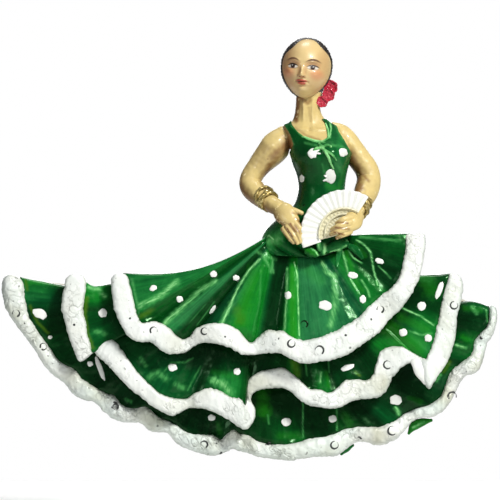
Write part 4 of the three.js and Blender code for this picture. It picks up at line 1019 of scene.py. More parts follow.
def face_paint():
    """Skin with brushed brows, lids, eyes, lips and a little blush, all in face coordinates."""
    finish = Finish("face_paint", 600.0, 0.1)
    face_x, face_z, face_y = finish.kept("face_x", "face_z", "face_y")
    both = finish.unsigned(face_x)
    uneven = finish.times(finish.minus(finish.mottle, 0.5), 0.3)
    is_front = finish.math("LESS_THAN", face_y, -1.0)

    def oval(x, middle_x, middle_z, wide, tall, soft, bend=0.0):
        """1 inside an oval that may bend like a bow."""
        shift = finish.math("DIVIDE", finish.minus(x, middle_x), wide)
        level = finish.minus(face_z, middle_z)
        if bend:
            level = finish.plus(level, finish.times(finish.times(shift, shift), bend))
        rise = finish.math("DIVIDE", level, tall)
        far = finish.plus(finish.far(shift, rise), uneven)
        return finish.times(finish.span(far, 1 - soft, 1 + soft, 1, 0), is_front)

    # Painted shade on the side of the face turned from the light.
    turned_away = finish.times(finish.axes("Normal")[0], -0.7)
    facing_away_shade = finish.span(finish.plus(turned_away, finish.times(finish.mottle, 0.3)), 0.25, 1.0)
    blush = finish.span(finish.mottle, 0.35, 0.75, 0, 0.3)
    colour = finish.layered(
        finish.mix(blush, (0.7, 0.52, 0.24), (0.6, 0.38, 0.16)),
        (facing_away_shade, 0.75, (0.36, 0.16, 0.06)),
        # Shading of the temples, cheeks, jaw, nose, lip, chin and eye sockets.
        (oval(both, 3.4, 1.2, 1.1, 2.6, 0.7), 0.4, (0.42, 0.2, 0.07)),
        (oval(both, 2.5, -1.1, 1.1, 0.9, 0.6), 0.5, (0.68, 0.2, 0.09)),
        (oval(both, 2.2, -2.9, 1.0, 1.2, 0.7), 0.3, (0.45, 0.2, 0.07)),
        (oval(both, 0.62, -0.4, 0.3, 1.2, 0.7), 0.4, (0.46, 0.2, 0.08)),
        (oval(face_x, 0, -1.74, 0.66, 0.18, 0.5), 0.6, (0.36, 0.11, 0.05)),
        (oval(face_x, 0, -3.25, 0.75, 0.2, 0.6), 0.45, (0.42, 0.17, 0.07)),
        (oval(both, 1.8, 0.7, 1.1, 0.55, 0.5), 0.6, (0.44, 0.19, 0.08)),
        # Brows, whites, irises, pupils, glints, upper lids and lower lids.
        (oval(both, 1.85, 1.5, 1.1, 0.2, 0.4, 0.32), 0.95, (0.11, 0.045, 0.018)),
        (oval(both, 1.8, 0.1, 0.9, 0.38, 0.2, 0.05), 1.0, (0.66, 0.6, 0.5)),
        (oval(both, 1.8, 0.15, 0.42, 0.42, 0.15), 1.0, (0.045, 0.018, 0.01)),
        (oval(both, 1.8, 0.15, 0.22, 0.22, 0.2), 1.0, (0.003, 0.003, 0.003)),
        (oval(both, 1.92, 0.27, 0.13, 0.08, 0.3), 0.9, (0.9, 0.9, 0.88)),
        (oval(both, 1.85, 0.47, 1.02, 0.16, 0.35, 0.26), 1.0, (0.02, 0.01, 0.007)),
        (oval(both, 1.85, -0.27, 0.9, 0.08, 0.5, -0.12), 0.75, (0.2, 0.08, 0.035)),
        # Upper lip, lower lip, the line between them, and nostrils.
        (oval(face_x, 0, -2.36, 1.05, 0.24, 0.25, 0.06), 0.95, (0.44, 0.055, 0.035)),
        (oval(face_x, 0, -2.8, 0.8, 0.3, 0.25), 0.95, (0.52, 0.08, 0.05)),
        (oval(face_x, 0, -2.56, 1.0, 0.07, 0.5), 0.9, (0.13, 0.02, 0.015)),
        (oval(both, 0.34, -1.66, 0.15, 0.09, 0.4), 0.85, (0.14, 0.045, 0.02)),
        # Painted shade in the creases of the face.
        (finish.group(CREASE_SHADE_AND_CREST_HIGHLIGHT, Size=600.0)["Crease"], 0.35, (0.3, 0.12, 0.05)),
    )
    finish.bump(finish.height, 0.2, 0.00008)
    return finish.done(Base_Color=colour, Roughness=finish.mottled(0.34, 0.48), Coat_Weight=0.12)


SKIN_LIGHT, SKIN_DARK = (0.69, 0.535, 0.215), (0.17, 0.075, 0.015)

# Each paint: the slot it fills, and its material.
PAINTS = {
    "green": ("green_enamel", green_enamel()),
    "white_upper": ("white_paint", white_paint("white_paint_upper", 0.22)),
    "white_middle": ("white_paint", white_paint("white_paint_middle", 0.35)),
    "white_lower": ("white_paint", white_paint("white_paint_lower", 0.75)),
    "dot": ("white_paint", painted(
        "dot_paint", (0.86, 0.87, 0.83), (0.4, 0.46, 0.38), wash=0.3, gloss=(0.35, 0.5), coat=0.2,
    )),
    "ink": ("white_paint", painted(
        "groove_wash", (0.018, 0.022, 0.02), (0.004, 0.005, 0.004), wash=0.2, gloss=(0.35, 0.5),
    )),
    "skin": ("skin_paint", painted(
        "skin_paint", SKIN_LIGHT, SKIN_DARK, (0.8, 0.65, 0.34), wash=0.85, shaded=0.9, coat=0.12,
        shadow_brown=(0.2, 0.075, 0.018),
    )),
    "face": ("skin_paint", face_paint()),
    "hair": ("hair_paint", hair_paint()),
    "red": ("red_paint", painted(
        "flower_paint", (0.5, 0.014, 0.045), (0.13, 0.002, 0.01), (0.6, 0.05, 0.1), wash=0.45, coat=0.3,
    )),
    "gold": ("gold_paint", painted(
        "gold_paint", (0.3, 0.22, 0.06), (0.025, 0.016, 0.005), (0.75, 0.62, 0.3), wash=1.0,
        gloss=(0.3, 0.42), metal=0.55,
    )),
    "fan": ("fan_paint", painted(
        "fan_paint", (0.86, 0.87, 0.82), (0.5, 0.5, 0.4), (0.9, 0.91, 0.88), wash=0.2, gloss=(0.4, 0.6),
    )),
    "fan_inner": ("fan_paint", painted(
        "fan_inner_paint", (0.72, 0.68, 0.46), (0.16, 0.1, 0.03), (0.9, 0.86, 0.66), wash=0.6,
    )),
}

# ---- Building the dress -----------------------------------------------------------------------

flounce_pieces, band_pieces = {}, {}
for name in FLOUNCES:
    flounce_pieces[name] = build_flounce(name)
    band_pieces[name] = build_band(name)

# ---- Building the body ------------------------------------------------------------------------

# The trunk from the hips to the throat: height, middle, half width, front and back.
TRUNK = [
    (12.5, 10, 8, -13.4, -4), (14.2, 10, 8, -13.8, -3.4), (16, 10.3, 8.3, -14.6, -3.2),
    (17.8, 10.3, 8.2, -14.9, -3), (20, 10.5, 7.4, -14.7, -3), (22.5, 11.5, 5.9, -13.8, -3.2),
    (24.3, 12.6, 4.5, -12.8, -3.5), (27, 12.9, 3.9, -12.3, -3.8), (29.7, 12.9, 4.2, -12.7, -3.6),
    (32.4, 12.7, 5, -13.5, -3.2), (34.2, 12.7, 5.4, -13.6, -3), (36, 12.1, 5.3, -12.4, -3),
    (37.8, 11.1, 5.2, -10.9, -3.4), (38.6, 10.7, 4.75, -10.2, -4), (39.3, 10.75, 3.4, -9.8, -4.4),
    (40, 10.6, 2.75, -9.6, -5), (41, 10.45, 2.35, -9.5, -5.5), (42.4, 10.45, 2.2, -9.5, -5.8),
    (44.6, 10.7, 2.35, -9.6, -5.9),
]
TRUNK_END = 0.04  # share of the trunk's rows that closes each of its ends
HIP_MIDDLE, HIP_HALF_WIDTH = 10.4, 8
YOKE_TOP = 23
# Bumps on the trunk: x, z, how far it spreads each way, and how far it stands out.
TRUNK_BUMPS = [
    (10.1, 33.1, 2.0, 1.9, 0.75), (15.2, 33.1, 2.0, 1.9, 0.75), (12.7, 33.4, 0.55, 1.7, -0.3),
    (8.9, 38.0, 1.9, 0.28, 0.22), (12.6, 37.9, 1.7, 0.28, 0.22), (10.8, 37.9, 0.4, 0.45, -0.25),
    (9.6, 41.6, 0.3, 2.6, 0.16), (11.3, 41.2, 0.3, 2.8, 0.18), (12.9, 25.5, 0.5, 2.4, -0.12),
]
# The bodice seen from the front, and the yoke's lower edge: x and z.
BODICE_OUTLINE = [
    (4.2, 41.4), (6, 38.9), (7.2, 37), (7.8, 35.2), (7.0, 33.6), (5, 32.9), (3, 31), (3, 21.6), (22, 21.6),
    (22, 31), (18.6, 33.2), (17.7, 34.6), (17, 35.9), (16, 37.5), (15.5, 39.2), (15.4, 39.9), (12.9, 39.85),
    (13.2, 39.5), (13.9, 38.2), (14.1, 37), (13.6, 36), (12.6, 35.65), (11.4, 35.9), (9.8, 36.5),
    (8.5, 37.5), (7.6, 38.7), (7, 41),
]
YOKE_EDGE = [
    (-1, 18.2), (1.4, 17.2), (2.9, 16.2), (5.4, 15.4), (9, 15.2), (11.3, 15.1), (13, 15.4), (14.4, 16.1),
    (17.1, 16.8), (18.5, 17.4), (21, 18),
]

# Painted light and shade of the green of the bodice, yoke and ribbons from left to right, darker on the
# left away from the light: how light, and how bluish, the bluish tint partly a painted sheen.
BODY_SHADING_GREENS = [
    (0, 0.5, 0.5), (3, 0.62, 0.6), (5, 0.5, 0.3), (7, 0.42, 0.25), (10, 0.3, 0.2), (12.4, 0.42, 0.3),
    (14, 0.46, 0.4), (16, 0.55, 0.5), (18, 0.5, 0.4), (22, 0.4, 0.2),
]
# Brush strokes on the bodice, yoke and bow, where the pale dry brush also stands for painted highlights and
# the bright strokes are painted light, and brown brushed over the skin where its shadows fall, as painted
# shadow.
BODY_BRUSHWORK = [
    ([(9.4, 36.6), (11.4, 35.7), (13.4, 35.5)], 0.2, 0.8, "dry_brush_highlight"),
    ([(7.4, 38.5), (9.4, 36.6)], 0.16, 0.6, "dry_brush_highlight"),
    ([(14.3, 36.4), (14.6, 38), (14.3, 39.8)], 0.2, 0.9, "dry_brush_highlight"),
    ([(7.9, 35.2), (7, 37.2), (6.4, 38.4)], 0.2, 0.4, "dry_brush_highlight"),
    ([(15.4, 38.6), (16.2, 37), (17.4, 35.3)], 0.35, 0.5, "dry_brush_highlight"),
    ([(9.9, 35.4), (12, 34.9), (13.6, 34.8)], 0.3, 0.35, "dry_brush_highlight"),
    ([(14.8, 35), (16.4, 34.8), (17.6, 34.4)], 0.3, 0.45, "dry_brush_highlight"),
    ([(13, 31.5), (13.8, 28.8)], 0.3, 0.35, "dry_brush_highlight"), ([(15.4, 31.8), (16.3, 30.4)], 0.4, 0.35, "dry_brush_highlight"),
    ([(16.2, 28.5), (15.9, 27.2)], 0.35, 0.5, "painted_light"), ([(14, 27.8), (15.5, 27.2)], 0.6, 0.45, "painted_light"),
    ([(2.6, 18.4), (3.3, 17.7), (4.6, 17.9), (5.6, 19.4)], 0.9, 0.65, "dry_brush_highlight"),
    ([(2.7, 18.2), (3.4, 18.8), (4.2, 18.1)], 0.22, 1.0, "dry_brush_highlight"),
    ([(2.6, 18.6), (4.4, 18)], 1.4, 0.7, "painted_light"), ([(2.6, 16.8), (3.6, 16.3)], 0.4, 0.55, "dry_brush_highlight"),
    ([(10.3, 16.3), (11.6, 15.6)], 0.6, 1.0, "painted_light"),
    ([(10.2, 16.9), (11.6, 16.1), (12.2, 15.2)], 0.18, 1.0, "dry_brush_highlight"),
    ([(13.4, 15.4), (13.3, 17.2)], 0.45, 1.0, "dry_brush_highlight"), ([(12.2, 17.7), (12.5, 16.4)], 0.45, 0.9, "dry_brush_highlight"),
    ([(14.4, 15.8), (16.2, 16.3), (17.2, 17)], 0.28, 1.0, "dry_brush_highlight"),
    ([(17.3, 17.9), (19.5, 17.6), (21, 16.6)], 0.2, 0.8, "dry_brush_highlight"),
    ([(14.5, 16.8), (16.4, 17)], 0.5, 0.25, "dry_brush_highlight"),
]
SKIN_SHADOWS = [
    ([(17.7, 33.6), (18.8, 31.4), (19.4, 29.4), (19.2, 27.4), (18.4, 25.6)], 1.2, 1.0),
    ([(17.6, 34), (18.7, 32.2)], 0.4, 0.8), ([(18.8, 31), (20.4, 29.6), (21.3, 28.6)], 0.35, 0.7),
    ([(7.2, 34.8), (6.1, 34), (5, 32.8), (3.7, 31.6), (2.9, 30), (2.7, 28.3), (3.6, 26.8)], 0.62, 0.9),
    ([(2.4, 30.3), (1.9, 28.7), (2.8, 27.3)], 0.45, 0.6),
    ([(1.2, 24.4), (3, 22.9), (4.6, 21.6)], 0.5, 0.75), ([(-1.9, 29.4), (-1.4, 27), (0.2, 25)], 0.35, 0.55),
    ([(5.9, 36.8), (6.9, 35.6), (7.4, 34.4)], 0.3, 0.55),
    ([(8.7, 43.8), (8.6, 41.6), (8.3, 39.4)], 0.42, 0.95),
    ([(9, 43.8), (10.4, 42.6), (10.9, 43.2)], 0.4, 0.75),
    ([(8.2, 38.2), (10.2, 36.7), (12.6, 35.9)], 0.25, 0.55), ([(13.9, 38.6), (13.9, 36.9)], 0.28, 0.16),
    ([(4.2, 32.8), (5.6, 34.4), (7.4, 36)], 0.95, 0.85), ([(10.6, 41.8), (10.9, 39.4)], 0.25, 0.3),
    ([(7.2, 20.9), (8.2, 19.4)], 0.22, 1.0), ([(8.3, 21.8), (9.3, 20.6)], 0.22, 1.0),
    ([(6.6, 20), (7.6, 18.6)], 0.2, 1.0), ([(8, 20.6), (8.9, 19.2)], 0.22, 1.0),
    ([(7.6, 22.8), (9.2, 22.4)], 0.2, 0.7), ([(15.3, 20.2), (17.6, 19.9)], 0.22, 1.0),
    ([(15, 19.4), (16.8, 18.9)], 0.2, 1.0), ([(15.7, 21.1), (17.4, 21)], 0.2, 0.9),
    ([(14.8, 18.5), (16.6, 18.2)], 0.2, 0.6), ([(3.2, 32.6), (3.25, 32.55)], 0.22, 0.7),
]
SKIN_SHADOW_STROKES = [(*stroke, "brown") for stroke in SKIN_SHADOWS]


def trunk_skin(low, high, swell, columns, rows, pleated=0.0):
    """The trunk between two heights, swollen a little for cloth, with gathers if pleated."""
    sections = np.array(TRUNK)

    def place(s, t):
        angle = 2 * math.pi * s
        along = np.clip((t - TRUNK_END) / (1 - 2 * TRUNK_END), 0, 1)
        bottom = low
        if pleated:
            below = HIP_MIDDLE + HIP_HALF_WIDTH * np.sin(angle)
            bottom = np.interp(below, *np.array(YOKE_EDGE).T) - 0.2
        level = bottom + (high - bottom) * along
        share = np.interp(level, sections[:, 0], np.linspace(0, 1, len(sections)))
        row = smooth(sections, share)
        ring = 1 - np.clip(1 - np.minimum(t, 1 - t) / TRUNK_END, 0, 1)
        x, y = np.sin(angle), -np.cos(angle)
        squareness = 2 / 2.2
        x, y = np.sign(x) * np.abs(x) ** squareness, np.sign(y) * np.abs(y) ** squareness
        middle = (row[:, 3] + row[:, 4]) / 2
        reach = (row[:, 4] - row[:, 3]) / 2 + swell
        broad = (row[:, 2] + swell) * ring
        points = np.column_stack([row[:, 1] + x * broad, middle + y * reach * ring, level])
        front = np.clip(-y, 0, 1) * ring
        for bump_x, bump_z, wide, tall, out in TRUNK_BUMPS:
            away = ((points[:, 0] - bump_x) / wide) ** 2 + ((level - bump_z) / tall) ** 2
            points[:, 1] -= out * np.exp(-away) * front
        if pleated:
            sweep = points[:, 0] * 0.9 + (level - low) * 0.7
            gather = np.abs(np.sin(sweep * 0.95 + 0.9 * np.sin(level * 0.8))) ** 0.7 * 2 - 1.2
            points[:, 1] -= pleated * gather * front * (1 - 0.5 * along)
        points[:, 1] -= 0.05 * rough(points, 1.1, 8) * front
        return points, {}

    return mapped_grid(columns, rows, place)


def outline_block(outline, front=-30.0, back=5.0):
    """A block with the given outline, seen from the front."""
    bm = bmesh.new()
    bmesh.ops.create_circle(bm, cap_ends=True, segments=len(outline), radius=1)
    ordered = sorted(bm.verts, key=lambda v: math.atan2(v.co.y, v.co.x))
    for vertex, (x, z) in zip(ordered, outline):
        vertex.co = (x, front, z)
    grown = bmesh.ops.extrude_face_region(bm, geom=bm.faces[:])["geom"]
    far_side = [part for part in grown if isinstance(part, bmesh.types.BMVert)]
    bmesh.ops.translate(bm, verts=far_side, vec=(0, back - front, 0))
    bmesh.ops.recalc_face_normals(bm, faces=bm.faces[:])
    return bm


def kept_inside(bm, block):
    """The part of one closed shape that lies inside another."""
    whole, cutter = (into_scene("holder", mesh_of("holder", shape)) for shape in (bm, block))
    cut = whole.modifiers.new("cut", "BOOLEAN")
    cut.operation = "INTERSECT"
    cut.solver = "EXACT"
    cut.object = cutter
    out = modified(whole)
    for holder in (whole, cutter):
        bpy.data.objects.remove(holder)
    return out


def laid_out(bm, brushwork=BODY_BRUSHWORK):
    """Keeps on a shape's vertices where each paint goes, seen from the front, with the painted light and
    shade of the green from left to right.
    """
    flat = places_of(bm)[:, [0, 2]]
    places, light, blue_tint_and_sheen = np.array(BODY_SHADING_GREENS).T
    keep_values(bm, {
        **brushed(flat, brushwork),
        "light": np.interp(flat[:, 0], places, light), "blue_tint_and_sheen": np.interp(flat[:, 0], places, blue_tint_and_sheen),
        "tuck_shade": np.ones(len(flat)), "along": flat[:, 0] * 0.25, "down": flat[:, 1] * 0.7,
    })
    return bm


chest_shape = laid_out(trunk_skin(23, 44.6, 0, 200, 240), SKIN_SHADOW_STROKES)
chest = finished("neck_and_chest", chest_shape, "skin", "neck_and_chest")
bodice_shape = kept_inside(trunk_skin(16, 44.4, 0.32, 150, 150), outline_block(BODICE_OUTLINE))
bodice = finished("bodice", laid_out(blended(bodice_shape, 0.13, 2)), "green", "bodice")
yoke_shape = laid_out(trunk_skin(14.6, YOKE_TOP, 0.1, 300, 120, pleated=0.5))
yoke = finished("hip_yoke", yoke_shape, "green", "hip_yoke")

# Arms: centre line and radius at each point, from the shoulder to the wrist.
ARMS = {
    "right": (
        [
            (6.3, -6.9, 36.6), (5.2, -7, 35.6), (3.85, -7, 33.9), (1.95, -6.8, 31.8), (0.4, -6.8, 29.6),
            (0.1, -7.3, 28), (1.1, -8.7, 26.6), (3.1, -11, 24.9), (5.4, -13.2, 23.6),
        ],
        [2.1, 2.72, 2.4, 2.02, 1.98, 2.08, 1.88, 1.6, 1.45],
    ),
    "left": (
        [
            (14.8, -7, 37.8), (16.3, -7, 37.1), (17.8, -7, 35.2), (19.55, -6.9, 32.8), (21, -6.8, 30.7),
            (21.4, -7.1, 28.8), (20.9, -8.8, 26.8), (19.8, -11.7, 24.7), (18.7, -14.6, 22.7),
        ],
        [1.5, 2.05, 2.1, 2.1, 2.15, 2.22, 2.05, 1.7, 1.35],
    ),
}
for side, (path, radii) in ARMS.items():
    shape = laid_out(tube(path, radii, 1.0, 120, 200, wobble=0.06, seed=len(side)), SKIN_SHADOW_STROKES)
    finished(f"{side}_arm", shape, "skin", f"{side}_upper_arm", f"{side}_forearm")

# The palm, then each finger: path, radius at each point, and how flat it is.
HANDS = {
    "right": [
        ([(4.8, -12.8, 24), (6.2, -14.6, 22.7), (7.4, -15.4, 21.2)], (1.3, 1.95, 1.6), 0.6),
        ([(7.5, -15.7, 21.6), (9.0, -16.2, 20.0), (9.3, -16.1, 18.4)], (0.62, 0.58, 0.38), 0.9),
        ([(7.2, -15.9, 20.9), (8.5, -16.5, 19.2), (9.0, -16.4, 17.6)], (0.62, 0.58, 0.38), 0.9),
        ([(6.7, -15.8, 20.4), (7.8, -16.5, 18.7), (8.5, -16.5, 17.4)], (0.62, 0.58, 0.38), 0.9),
        ([(6.0, -15.4, 20.0), (7.0, -16.2, 18.5), (7.8, -16.3, 17.5)], (0.58, 0.52, 0.36), 0.9),
        ([(5.8, -14.5, 23.0), (7.6, -15.0, 23.3), (9.3, -15.2, 22.8)], (0.68, 0.6, 0.4), 0.9),
    ],
    "left": [
        ([(19.4, -15.0, 22.4), (18.3, -16.9, 21.3), (17.2, -17.6, 20.5)], (1.2, 1.75, 1.4), 0.62),
        ([(18.2, -17.4, 22.0), (16.6, -18.4, 21.6), (15.4, -18.0, 20.9)], (0.62, 0.56, 0.4), 0.9),
        ([(17.9, -17.8, 21.1), (15.9, -18.7, 20.5), (14.5, -18.1, 19.8)], (0.64, 0.58, 0.4), 0.9),
        ([(17.8, -17.8, 20.2), (15.9, -18.6, 19.6), (14.4, -18.0, 19.0)], (0.62, 0.56, 0.38), 0.9),
        ([(17.9, -17.4, 19.5), (16.6, -18.2, 18.9), (15.5, -17.8, 18.4)], (0.56, 0.5, 0.36), 0.9),
    ],
}
for side, parts in HANDS.items():
    shape = laid_out(blended(limbs(parts, 28, 36, 0.03), 0.075, 2), SKIN_SHADOW_STROKES)
    finished(f"{side}_hand", shape, "skin", f"{side}_hand")

# ---- Bangles ----------------------------------------------------------------------------------

# Each: middle, direction of the wrist through it, radius, and thickness of the wire.
BANGLES = {
    "right": [
        ((2.5, -10.5, 25.8), (0.62, -0.7, -0.36), 1.85, 0.27),
        ((3.0, -11.2, 25.3), (0.66, -0.68, -0.5), 1.78, 0.33),
        ((3.5, -11.8, 24.9), (0.56, -0.7, -0.3), 1.74, 0.26),
        ((3.2, -11.4, 25.1), (0.5, -0.66, -0.62), 1.8, 0.24),
    ],
    "left": [
        ((20, -11.8, 24.7), (-0.2, -0.8, -0.56), 1.78, 0.28),
        ((19.7, -12.8, 23.9), (-0.34, -0.76, -0.6), 1.68, 0.33),
        ((19.4, -13.6, 23.3), (-0.22, -0.82, -0.5), 1.56, 0.27),
    ],
}


def ring_shape(middle, along, radius, wire, seed):
    """A hand-twisted wire ring around a wrist."""
    turn = np.array(Vector(along).to_track_quat("Z", "Y").to_matrix())

    def place(s, t):
        around, wound = 2 * math.pi * s, 2 * math.pi * t
        beads = 1 + 0.16 * np.sin(around * 9 + wound + seed) + 0.14 * np.sin(around * 4.0 + 3 * seed)
        knob = 1 + 0.6 * np.exp(-(((s - 0.5) / 0.05) ** 2))
        thick = wire * beads * knob
        far = radius + thick * np.cos(wound)
        lift = thick * np.sin(wound) + 0.18 * np.sin(2 * around + seed)
        upright = np.column_stack([far * np.cos(around), far * np.sin(around), lift])
        return upright @ turn.T + np.array(middle), {}

    return mapped_grid(110, 18, place)


for side, rings in BANGLES.items():
    bm = bmesh.new()
    for number, ring in enumerate(rings):
        add_to(bm, ring_shape(*ring, seed=number * 2.1))
    finished(f"{side}_bangles", bm, "gold", f"{side}_bangle_upper", f"{side}_bangle_lower")

# ---- Fan --------------------------------------------------------------------------------------

FAN_PIVOT = (16.9, -16.0, 19.1)
FAN_SLOPE = 0.06  # how far the fan leans forward with each millimetre outward
FAN_LEAF = {"from": 57, "to": 199, "inner": 4.4, "outer": 7.85, "pleats": 15}
FAN_STICKS = {"from": 60, "to": 194, "inner": 0.7, "outer": 4.7, "pleats": 13}
# Cords wound round the sticks: radius from the pivot.
FAN_CORDS = (3.5, 4.55)


def fan_sheet(sizes, deep, thick, forward, columns, rows, scalloped):
    """A pleated sheet spread around the fan's pivot."""
    def place(s, t):
        front, v = both_faces(t)
        angle = np.radians(sizes["from"] + (sizes["to"] - sizes["from"]) * s)
        fold = s * sizes["pleats"]
        crest = 1 - 2 * np.abs(fold - np.floor(fold) - 0.5) * 2
        edge = np.abs(v - 0.5) * 2
        thinning = np.sqrt(np.clip(1 - edge**12, 0, 1))
        radius = sizes["inner"] + (sizes["outer"] + scalloped * crest - sizes["inner"]) * v
        radius = radius + 0.08 * rough(np.column_stack([s * 9, v * 0, v * 0]), 1, 3)
        x = FAN_PIVOT[0] + radius * np.cos(angle)
        z = FAN_PIVOT[2] + radius * np.sin(angle)
        half = thick / 2 * thinning
        middle = FAN_PIVOT[1] - forward - FAN_SLOPE * radius - deep * crest * v**0.5
        y = middle + np.where(front, -half, half)
        return np.column_stack([x, y, z]), {}

    return mapped_grid(columns, rows, place)


def on_fan(radius, degrees):
    """A place just in front of the sticks."""
    angle = math.radians(degrees)
    return (
        FAN_PIVOT[0] + radius * math.cos(angle), FAN_PIVOT[1] - 0.62 - FAN_SLOPE * radius,
        FAN_PIVOT[2] + radius * math.sin(angle),
    )


finished("fan_leaf", fan_sheet(FAN_LEAF, 0.12, 0.5, 0, 400, 60, 0.05), "fan", "fan_leaf")
sticks = fan_sheet(FAN_STICKS, 0.05, 0.42, 0.1, 260, 40, 0.0)
for radius in FAN_CORDS:
    arc = [on_fan(radius, degrees) for degrees in range(58, 196, 6)]
    add_to(sticks, tube(arc, [0.17] * len(arc), 1.0, 12, 160, wobble=0.1, seed=radius))
finished("fan_sticks", sticks, "fan_inner", "fan_sticks")

# ---- Bow, cord and turned hems ----------------------------------------------------------------

# Each strand: its path in x and z, its half widths, how flat it is, and how far it stands forward.
SASH = [
    ([(10.2, 16.1), (11, 15.7), (11.8, 15.4)], (0.7, 0.95, 0.6), 0.7, 0.75),
    ([(12.2, 17.6), (12.7, 16.7), (13.0, 15.7)], (0.6, 0.85, 0.5), 0.7, 0.8),
    ([(13.6, 16.4), (15.4, 17.0), (17.2, 17.5)], (0.6, 1.0, 0.7), 0.7, 0.7),
    ([(17.7, 17), (19, 16.2), (20.1, 14.8)], (0.5, 0.7, 0.4), 0.5, 0.3),
    ([(16.4, 16.9), (15.8, 15), (15.6, 13.2)], (0.4, 0.5, 0.3), 0.5, 0.1),
]
CORD = [
    ([(12.4, 35.2), (12.9, 34.6), (13.3, 34)], (0.26, 0.36, 0.26), 0.8, 0.2),
    ([(12.9, 34.5), (12.0, 34.4), (11.4, 34.1)], (0.22, 0.3, 0.2), 0.8, 0.15),
    ([(13.0, 34.7), (13.9, 35), (14.5, 34.7)], (0.22, 0.3, 0.22), 0.8, 0.15),
    ([(13.1, 34.2), (14.0, 32.9), (14.5, 31.6), (15.0, 30.7)], (0.2, 0.26, 0.22, 0.14), 0.8, 0.15),
    ([(13.3, 34.2), (14.7, 33.3), (15.5, 32.2)], (0.18, 0.24, 0.14), 0.8, 0.12),
    ([(14.1, 36.3), (14.05, 37), (14, 37.7), (13.8, 38.4), (13.6, 39)], (0.2, 0.22, 0.14), 0.9, 0.1),
    (
        [(14.1, 36.3), (13.0, 35.7), (12.2, 35.75), (11.4, 35.9), (10.6, 36.2), (9.8, 36.5)],
        (0.18, 0.2, 0.18, 0.14), 0.9, 0.1,
    ),
]
# Pale dry brush along the cord, which also stands for its painted highlights.
CORD_BRUSHWORK = [
    ([(11, 34.2), (13, 34.6), (14.6, 34.8)], 0.8, 0.9, "dry_brush_highlight"),
    ([(13.2, 34.4), (14.4, 32.2), (15, 30.8)], 0.8, 0.9, "dry_brush_highlight"),
    ([(13.4, 34.2), (15.4, 32.4)], 0.6, 0.8, "dry_brush_highlight"),
    ([(9.6, 36.6), (11.4, 35.8), (13.4, 35.6), (14.4, 37), (13.6, 39.4)], 0.8, 1.0, "dry_brush_highlight"),
]
# Each fold: its path, its half widths, and how flat it is.
HEM_FOLDS = [
    ([(28.7, -4, -17), (29.6, -4, -15.7), (31, -4, -15), (32.8, -4, -14.6)], (0.25, 0.85, 0.75, 0.3), 1.0),
    ([(16.5, -4, -20.7), (17.4, -4, -19.8), (18.6, -4, -19.1)], (0.3, 0.62, 0.3), 1.0),
]
# Painted light and pale dry brush, also standing for painted highlights, on the turned hem.
HEM_BRUSHWORK = [
    ([(28.6, -17), (31, -15), (33, -14.5)], 1.5, 1.0, "painted_light"),
    ([(29.4, -15.9), (31.4, -14.9)], 0.3, 0.8, "dry_brush_highlight"),
]
TRIM_TURN = [([(29.7, -12.55, -3.8), (30.6, -12.75, -5.3), (31.7, -12.9, -7.3)], (0.9, 1.25, 0.8), 0.5)]


def laid_on(tree, strands, otherwise):
    """Strands pressed onto what lies behind them."""
    return [([(x, depth_at(tree, x, z, otherwise) - forward, z) for x, z in path], radii, flat)
            for path, radii, flat, forward in strands]


bow_strands = laid_on(surface_of(flounce_pieces["upper"], yoke), SASH, -15)
finished("sash_bow", laid_out(blended(limbs(bow_strands, 28, 44, 0.06), 0.09, 1)), "green", "sash_bow")
finished("hem_turned_under", laid_out(limbs(HEM_FOLDS, 28, 44, 0.05), HEM_BRUSHWORK), "green")
finished("trim_turned_under", limbs(TRIM_TURN, 40, 48, 0.05), "dot")
cord_strands = laid_on(surface_of(chest, bodice), CORD, -13)
cord_shape = laid_out(blended(limbs(cord_strands, 20, 36, 0.08), 0.07, 1), CORD_BRUSHWORK)
finished("neckline_cord", cord_shape, "green", "neckline_cord")

# ---- Head -------------------------------------------------------------------------------------

HEAD_CENTRE = (10.15, -9.4, 48.85)
HEAD_SIZE = (4.35, 5.0, 5.3)  # half width, half depth, half height
HEAD_TURN, HEAD_TILT = 0.16, 0.1
HEAD_LEAN = Matrix.Rotation(HEAD_TILT, 4, "Y") @ Matrix.Rotation(-HEAD_TURN, 4, "Z")
HEAD_PLACE = Matrix.Translation(HEAD_CENTRE) @ HEAD_LEAN
HAIRLINE = 0.72  # share of the hair cap's rows that lie on its outside
BUN_MIDDLE, BUN_RADIUS, BUN_DEPTH = (10.9, -2.9, 46.4), 2.6, 1.9
# Soft forms of the face: x, z, spread each way and height, in mm. Forms with x above 0 come in pairs.
FACE_FORMS = [
    (0, 3.0, 2.6, 1.6, 0.18), (1.75, 1.25, 1.0, 0.3, 0.28), (1.8, 0.2, 0.95, 0.62, -0.62),
    (0, 0.5, 0.5, 0.7, -0.12), (1.8, 0.12, 0.62, 0.36, 0.5), (0, -0.55, 0.36, 0.85, 0.5),
    (0, -1.3, 0.42, 0.42, 0.62), (0.48, -1.48, 0.26, 0.24, 0.3), (2.5, -0.95, 0.95, 0.75, 0.26),
    (0, -1.95, 0.18, 0.22, -0.12), (0.3, -2.33, 0.5, 0.2, 0.26), (0, -2.83, 0.62, 0.2, 0.3),
    (0, -2.57, 0.95, 0.08, -0.22), (0, -3.25, 0.6, 0.22, -0.16), (0, -4.15, 0.95, 0.62, 0.42),
    (1.15, -2.6, 0.2, 0.24, -0.12),
]
# Each bloom of the flower: its middle, and its size.
FLOWER_MIDDLES = [((14.5, -7.9, 45.5), 1.5), ((14.1, -8.3, 44.1), 1.35), ((13.0, -8.3, 42.9), 1.2)]
# Rings of petals in a bloom: how many, how far they lean in, their size, and how far back they sit.
PETAL_RINGS = ((6, 0.75, 1.0, 0.2), (5, 0.4, 0.75, -0.3), (3, 0.12, 0.5, -0.55))


def on_head(points):
    """Turns and moves points from the head's own frame to where the head is."""
    return np.array([HEAD_PLACE @ Vector(p) for p in points])


